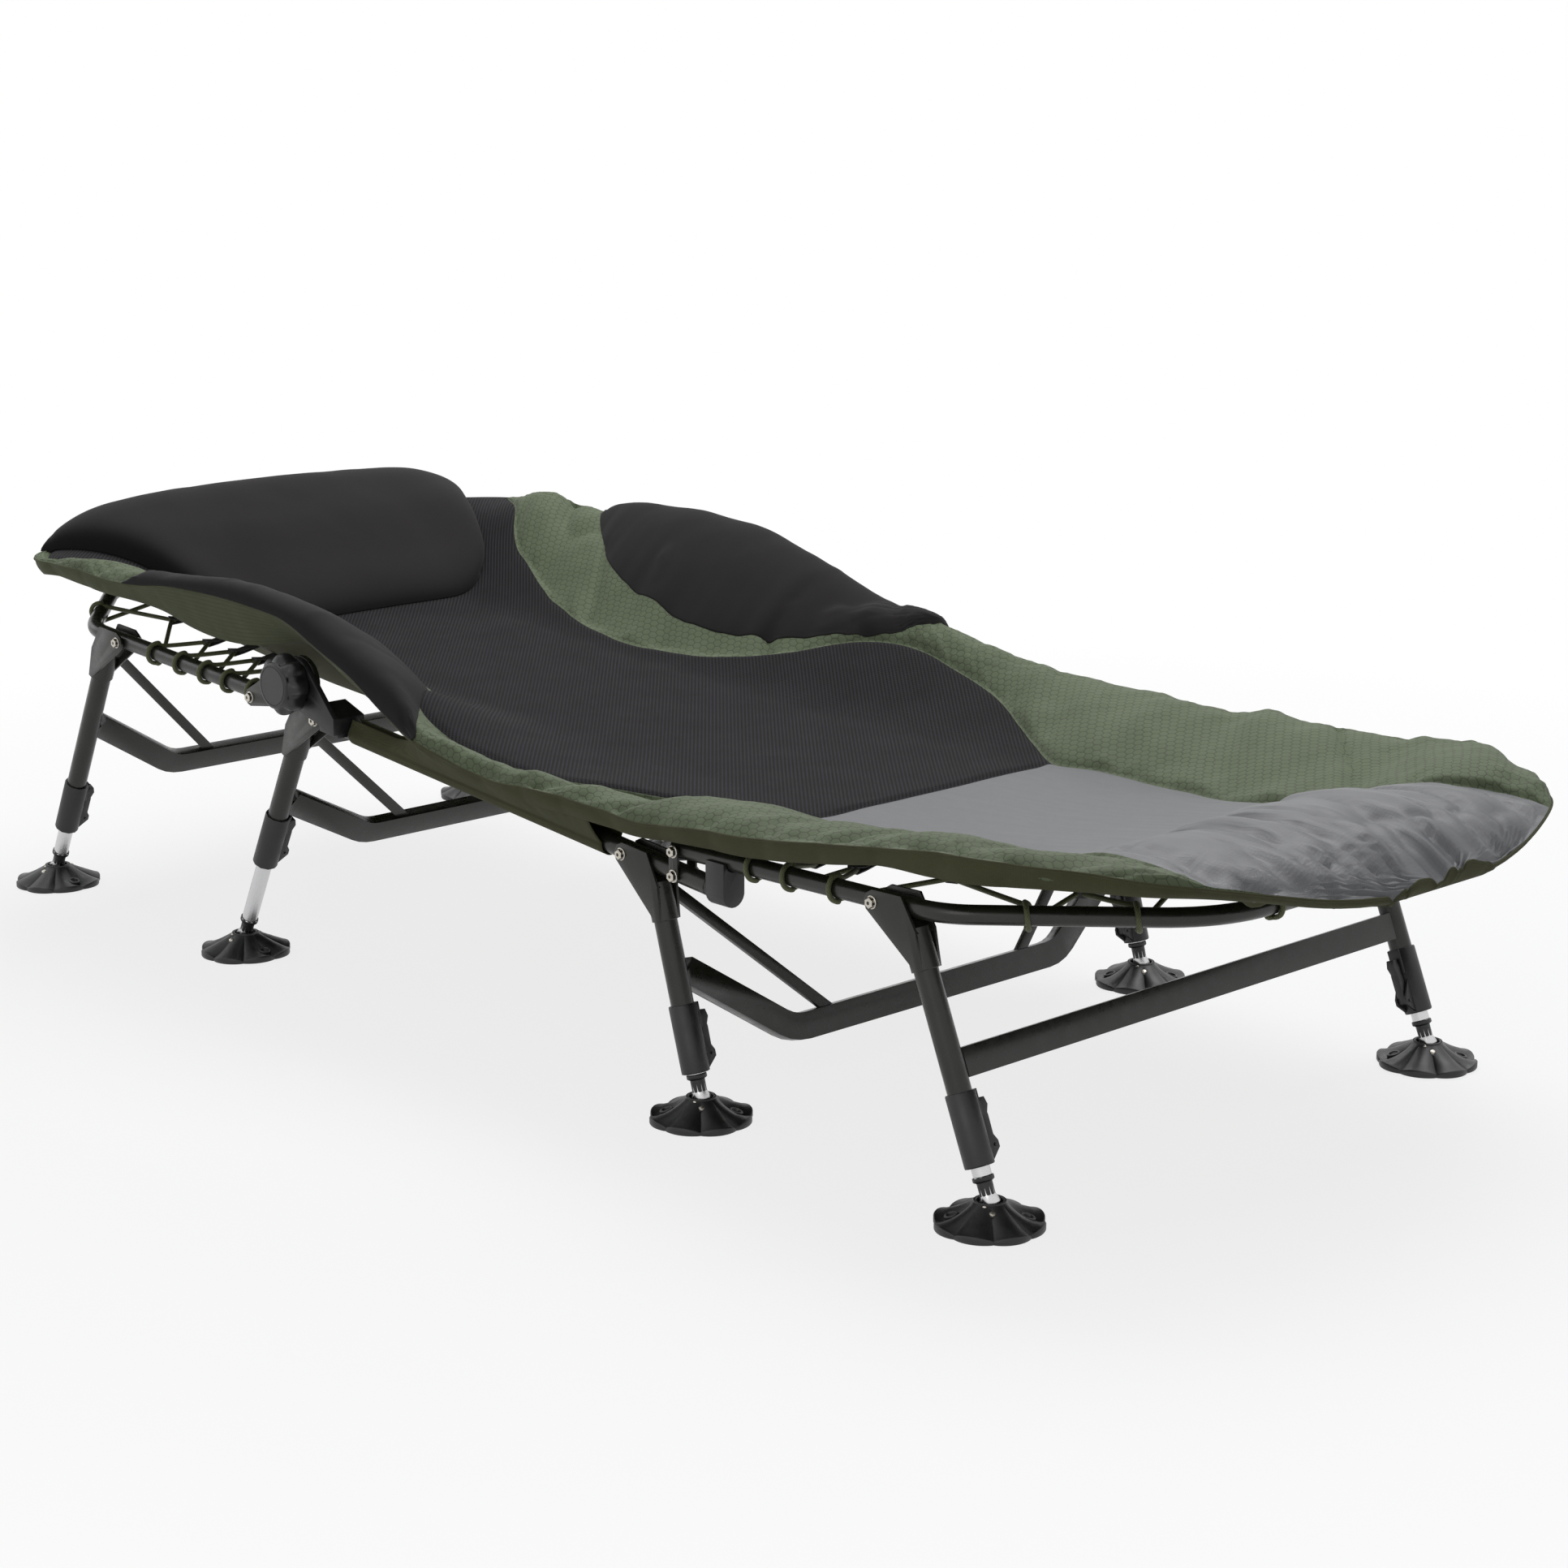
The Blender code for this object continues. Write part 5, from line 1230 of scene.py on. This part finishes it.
def build_bolts(name, places, body):
    """Hexagonal heads on flanges, in zinc, each at a place and facing a direction."""
    pile = Pile()
    for place, outward in places:
        at = facing(place, outward)
        flange = [(1.12, -0.001), (1.12, 0.0009), (1.02, 0.0013)]
        head = [(0.93, 0.001), (0.93, 0.0044), (0.8, 0.0052), (0.34, 0.0052), (0.3, 0.0044)]
        for rings, sides in ((flange, 32), (head, 6)):
            pile.turned([(BOLT_RADIUS * share, height) for share, height in rings], at, sides)
    placed(pile.made(name, (ZINC,), 30), "bare_metal", body)


for number in LEG_NUMBERS:
    up, top, drop = leg_axes(number)
    places = []
    for label, side in SIDES:
        build_leg(number, label, side, up, top, drop)
        for way in (-1, 1):
            places.append((BOLTS[number] + Vector((0, side * RAIL_Y + way * EAR_OUTER, 0)), (0, way, 0)))
    build_bolts(f"bolts_leg_{number}", places, f"leg_pair_{number}")

places = []
for label, side in SIDES:
    for way in (-1, 1):
        for height in (FOOT_HINGE.z, seat_rail_z(FOOT_HINGE.x)):
            places.append(((FOOT_HINGE.x, side * RAIL_Y + way * HINGE_OUTER, height), (0, way, 0)))
build_bolts("bolts_foot_hinge", places, "seat_section")
# The recliner plates' outer and inner faces, with the way each looks
RECLINER_FACES = ((0.3835, 1), (0.3496, -1))
places = []
for y, way in RECLINER_FACES:
    for label, side in SIDES:
        places.append(((BACK_BOLT.x, side * y, BACK_BOLT.z), (0, side * way, 0)))
build_bolts("bolts_recliner", places, "back_section")


# Mud feet

FOOT_RIM = 0.0565
FOOT_BORE = 0.0158
FOOT_TOP = 0.0262
FOOT_FLOOR = -BALL_HEIGHT
FOOT_SIDES = 192
# How far each foot is turned about its ball, in degrees
FOOT_TURNS = {1: -15, 2: -15, 3: 25, 4: 25}
PIN_REACH = 0.0155
RIVET_TURN = -1.15
RIVET_REACH = 0.0235
PEG_TURN = 0.314
PEG_REACH = 0.037
FOOT_ANGLES = np.linspace(0, 2 * math.pi, FOOT_SIDES, endpoint=False)
# Each ring's radius and height, from the pocket that the ball sits in and over the collar round it
COLLAR = (
    (0.002, -0.0118), (0.0085, -0.0105), (0.0127, -0.004), (0.013, 0.001), (0.0131, 0.0026),
    (0.0138, 0.0033), (0.015, 0.0031), (0.0159, 0.0018), (0.0163, -0.001),
    (0.0164, (FOOT_FLOOR + FOOT_TOP - 0.001) / 2), (0.0162, FOOT_FLOOR + FOOT_TOP + 0.0008),
)
# Small parts, each as the radius and height of its rings
PIN = [(0.0024, 0), (0.0024, 0.0018), (0.0017, 0.0026), (0.0006, 0.0028)]
RIVET = [(0.0034, -0.003), (0.0034, 0.0006), (0.0028, 0.0018), (0.001, 0.0023)]
WASHER = [(0.0052, -0.003), (0.0052, 0.0002), (0.004, 0.0004)]
PEG_EYE = [
    (0.0078, -0.0035), (0.0078, 0.0016), (0.007, 0.0024),
    (0.0056, 0.0024), (0.0048, 0.0014), (0.0046, -0.003),
]


def ring_at(angle, radius, height):
    """A ring of corners about the Z axis. The radius and the height may change round it."""
    return points_of(radius * np.cos(angle), radius * np.sin(angle), height)


def mud_foot_rings():
    """A pleated foot about the ball's centre: collar, raised panels between folds, rim and underside."""
    angle = FOOT_ANGLES
    crest = np.abs(np.cos(4 * angle)) ** 0.75
    rim = FOOT_RIM - 0.0034 * (1 - crest) - 0.001 * np.cos(2 * angle) ** 2
    sunk = sum(np.clip(np.cos(angle - math.radians(turn)), 0, 1) ** 8 for turn in (18, 198))
    rings = [ring_at(angle, radius, height) for radius, height in COLLAR]
    for s in np.linspace(0, 1, 40):
        slope = 0.02 * (1 - s) ** 1.18 + FOOT_TOP - 0.02
        hollow = 0.0052 * sunk * math.sin(math.pi * s) ** 0.8
        height = slope + 0.0042 * (crest - 0.5) * min(s * 1.4, 1) - hollow
        height = FOOT_FLOOR + np.maximum(height, 0.0042)
        rings.append(ring_at(angle, FOOT_BORE + (rim - FOOT_BORE) * s, height))
    rings.append(ring_at(angle, rim + 0.0008, height - 0.001))
    for out, up in ((0.0008, 0.0012), (0.0002, 0.0002), (-0.0012, 0), (-0.005, 0), (-0.0065, 0.002)):
        rings.append(ring_at(angle, rim + out, FOOT_FLOOR + up))
    for radius in (0.02, 0.002):
        rings.append(ring_at(angle, radius, FOOT_FLOOR + 0.01))
    return rings


def on_skirt(turn, reach, height, tilt):
    """A place on the foot's sloping top, at an angle round it and a height above the floor."""
    out = Matrix.Translation((reach, 0, FOOT_FLOOR + height))
    return Matrix.Rotation(turn, 4, "Z") @ out @ turned_by(tilt, "Y")


def build_mud_foot():
    rings = mud_foot_rings()
    pile = Pile()
    faces = ring_faces(len(rings), FOOT_SIDES, turn=0)
    pile.add(np.concatenate(rings), [face[::-1] for face in faces])
    # A pin across the collar, and on each side of the skirt a rivet and a peg hole in a raised eye
    for way in (-1, 1):
        pile.turned(PIN, facing((0, way * PIN_REACH, 0), (0, way, 0)), 20, 1)
    for turn in (0, math.pi):
        at = on_skirt(turn + RIVET_TURN, RIVET_REACH, 0.0205, 24)
        pile.turned(RIVET, at, 20, 1)
        pile.turned(WASHER, at, 24)
        pile.turned(PEG_EYE, on_skirt(turn + PEG_TURN, PEG_REACH, 0.009, 16), 32)
    return pile.made("mud_foot_shape", (PLASTIC, ZINC), 42)


foot_shape = build_mud_foot()
for number in LEG_NUMBERS:
    for label, side in SIDES:
        name = f"mud_foot_{number}_{label}"
        piece = shown(f"{name}_moulding", foot_shape.data.copy())
        piece.data.transform(turned_by(FOOT_TURNS[number] + (0 if side < 0 else 180), "Z"))
        piece.matrix_world = Matrix.Translation(joint_place(f"{name}_tilt"))
        placed(piece, "black_plastic", name, name)
bpy.data.objects.remove(foot_shape, do_unlink=True)


# Recliner knobs

KNOB_SIDES = 256
KNOB_LOBES = 8
LOBE_DEPTH = 0.0062
KNOB_LENGTH = 0.0318
KNOB_Y = 0.3921
# Each ring's radius, height and share of the lobes' depth, from the plate outwards
KNOB_PROFILE = (
    (0.015, 0, 0), (0.027, 0, 0.1), (0.03, 0.0006, 0.35), (0.033, 0.003, 0.7),
    (0.0358, 0.0065, 1), (0.0371, 0.01, 1), (0.0374, 0.0135, 1), (0.0373, 0.017, 1),
    (0.0368, 0.02, 1), (0.0358, 0.0225, 1), (0.0342, 0.0246, 0.95), (0.0322, 0.0262, 0.75),
    (0.0304, 0.0272, 0.45), (0.029, 0.0278, 0.2), (0.028, 0.0286, 0), (0.0276, 0.03, 0),
    (0.0272, 0.0311, 0), (0.0262, KNOB_LENGTH, 0), (0.024, KNOB_LENGTH + 0.0002, 0),
    (0.0236, KNOB_LENGTH - 0.0004, 0), (0.0228, KNOB_LENGTH - 0.0004, 0),
    (0.0224, KNOB_LENGTH + 0.0002, 0), (0.008, KNOB_LENGTH + 0.0003, 0),
)


def build_knob(name):
    angle = np.linspace(0, 2 * math.pi, KNOB_SIDES, endpoint=False)
    hollow = ((1 - np.cos(KNOB_LOBES * angle)) / 2) ** 1.25
    rings = []
    for radius, height, depth in KNOB_PROFILE:
        rings.append(ring_at(angle, radius - LOBE_DEPTH * depth * hollow, height))
    faces = ring_faces(len(rings), KNOB_SIDES, turn=0)
    return mesh_object(name, np.concatenate(rings), faces, (KNOB_PLASTIC,), sharp=50)


for label, side in SIDES:
    name = f"recline_knob_{label}"
    knob = build_knob(f"{name}_grip")
    knob.matrix_world = Matrix.Translation((RECLINE.x, side * KNOB_Y, RECLINE.z)) @ turned_by(-90 * side, "X")
    placed(knob, "black_plastic", name, name)


# Elastic lacing, with its webbing tabs

BACK_WRAPS = (0.066, 0.12, 0.17, 0.225, 0.285, 0.49, 0.655)
FOOT_WRAPS = (0.122, 0.176, 0.244, 0.468, 0.575, 0.725)
WRAP_DEGREES = (40, 85, 130, 175, 220, 265, 310)
WRAP_RADIUS = END_RAIL_RADIUS + CORD_RADIUS + 0.0006
WRAP_PITCH = 0.009
TAB_INSET = 0.058
END_STEP = 0.012
STRAP_LENGTH = 0.042
STRAP_WIDTH = 0.0065
STRAP_THICKNESS = 0.0007


def along_path(path, distance):
    for start, end in zip(path, path[1:]):
        length = (end - start).length
        if distance <= length:
            return start + (end - start) * (distance / length), (end - start).normalized()
        distance -= length
    return path[-1], (path[-1] - path[-2]).normalized()


def curved(points, steps=6):
    """A smooth path through the points."""
    path = []
    for i in range(len(points) - 1):
        before, here = points[max(i - 1, 0)], points[i]
        there, after = points[i + 1], points[min(i + 2, len(points) - 1)]
        for k in range(steps):
            s = k / steps
            bend = (2 * before - 5 * here + 4 * there - after) * s**2
            twist = (3 * here - before - 3 * there + after) * s**3
            path.append(0.5 * (2 * here + (there - before) * s + bend + twist))
    return path + [points[-1]]


def bed_above(place):
    return float(bottom_z(np.array(place.x), np.array(place.y)))


def wrap_marks(path, wraps):
    """Where the cord turns round the rail: the rail's centre, its way along, and its way in."""
    whole = sum((end - start).length for start, end in zip(path, path[1:]))
    middle = sum(path, Vector()) / len(path)
    marks = []
    for distance in list(wraps) + [whole - distance for distance in reversed(wraps)]:
        centre, along = along_path(path, distance)
        inward = UP.cross(along).normalized()
        if inward.dot(middle - centre) < 0:
            inward.negate()
        marks.append((centre, along, inward))
    return marks


def tab_place(one, other):
    """Where the cord passes through a tab between two of its turns."""
    place = (one[0] + other[0]) / 2 + (one[2] + other[2]).normalized() * TAB_INSET
    place.z = min(bed_above(place) - 3 * CORD_RADIUS, place.z + TAB_INSET / 5)
    return place


def lacing_route(marks):
    """The cord's points, and each tab's place, way in and way along."""
    first, last = marks[0], marks[-1]
    first = (first[0] + first[1] * END_STEP, first[1], first[2])
    last = (last[0] - last[1] * END_STEP, last[1], last[2])
    tabs = [(tab_place(first, marks[0]), marks[0][2], marks[0][1])]
    points = [tabs[0][0]]
    for mark, following in zip(marks, marks[1:] + [last]):
        centre, along, inward = mark
        for turn in WRAP_DEGREES:
            angle = math.radians(turn)
            offset = inward * math.cos(angle) + UP * math.sin(angle)
            points.append(centre + offset * WRAP_RADIUS + along * WRAP_PITCH * (turn / 350 - 0.5))
        place = tab_place(mark, following)
        inward = (inward + following[2]).normalized()
        along = (along + following[1]).normalized()
        for back, on in ((0.003, -0.004), (-0.001, 0), (0.003, 0.004)):
            points.append(place - inward * back + along * on)
        tabs.append((place, inward, along))
    return points, tabs


def strap_section(point, along, up, thickness):
    """Four corners round a strap's cross-section."""
    around = ((-1, -1), (1, -1), (1, 1), (-1, 1))
    return [point + along * STRAP_WIDTH * a + up * thickness * b for a, b in around]


def add_tab(straps, place, inward, along):
    """Webbing: a loop round the cord, whose two ends run up into the mattress."""
    root = place + inward * STRAP_LENGTH
    root.z = max(bed_above(root) + 0.004, place.z + 0.006)
    up = along.cross((root - place).normalized()).normalized()
    if up.z < 0:
        up.negate()
    for lift in (1, -1):
        stops = (
            place - inward * 0.004 + up * 0.0036 * lift,
            place + inward * 0.01 + up * 0.0016 * lift,
            root + up * 0.0009 * lift,
        )
        for start, end in zip(stops, stops[1:]):
            a, b = (strap_section(point, along, up, STRAP_THICKNESS) for point in (start, end))
            straps.block([a[0], a[1], b[1], b[0], a[3], a[2], b[2], b[3]])
    nose = strap_section(place - inward * 0.0044, along, up, 0.004)
    straps.block(nose + [point + inward * 0.0012 for point in nose])


def build_lacing(name, path, wraps, body):
    points, tabs = lacing_route(wrap_marks(path, wraps))
    cord = Pile()
    cord.tube(curved(points), CORD_RADIUS, 12)
    placed(cord.made(f"{name}_cord", (CORD,)), "cord", body, name)
    straps = Pile()
    for tab in tabs:
        add_tab(straps, *tab)
    placed(straps.made(f"{name}_tabs", (WEBBING,), 40), "black_cloth", body)


build_lacing("back_lacing", BACK_PATH, BACK_WRAPS, "back_section")
build_lacing("foot_lacing", FOOT_PATH, FOOT_WRAPS, "foot_section")


# Floor, light and background

def floor_material():
    """Pale floor that keeps the shadow near the bed and fades to white far from it."""
    made = bpy.data.materials.new("pale_floor")
    nodes = Nodes(made)
    distance = nodes.vector("LENGTH", nodes.place())
    far = nodes.node("ShaderNodeMapRange", distance, 0.9, 2.2, 0.8, 1).outputs[0]
    share = nodes.math("MULTIPLY", nodes.rays("Is Camera Ray", "Is Glossy Ray"), far)
    diffuse = nodes.node("ShaderNodeBsdfDiffuse", (0.92, 0.92, 0.92))
    white = nodes.node("ShaderNodeEmission", (1, 1, 1), 1)
    nodes.node("ShaderNodeOutputMaterial", nodes.mixed_shader(share, diffuse, white))
    return made


def light_world():
    """Weak bluish light from all round, and a white background."""
    world = bpy.data.worlds.new("studio")
    bpy.context.scene.world = world
    nodes = Nodes(world)
    share = nodes.rays("Is Camera Ray", "Is Glossy Ray", "Is Transmission Ray")
    around = nodes.node("ShaderNodeBackground", (0.93, 0.96, 1), 0.22)
    white = nodes.node("ShaderNodeBackground", (1, 1, 1), 1)
    nodes.node("ShaderNodeOutputWorld", nodes.mixed_shader(share, around, white))


def area_light(name, place, target, size, power, colour=(1, 1, 1)):
    data = bpy.data.lights.new(name, "AREA")
    data.shape = "RECTANGLE"
    data.size, data.size_y = size
    data.energy = power
    data.color = colour
    lamp = shown(name, data)
    lamp.location = place
    lamp.rotation_euler = (Vector(target) - Vector(place)).to_track_quat("-Z", "Y").to_euler()


bpy.ops.mesh.primitive_plane_add(size=60, location=(0, 0, -0.0005))
floor = bpy.context.object
floor.name = "floor"
floor.data.materials.append(floor_material())

light_world()
area_light("soft_top", (-0.5, 1.1, 2.9), (0, 0, 0.3), (3, 1.8), 72)
area_light("soft_near", (1.6, -3.2, 1.9), (0, 0, 0.3), (2.2, 1.4), 13, (1, 0.96, 0.91))
area_light("soft_head", (-3.4, -1.2, 1.6), (-0.2, 0, 0.4), (1.6, 1.4), 7, (0.96, 0.98, 1))
bpy.context.scene.view_settings.view_transform = "Standard"
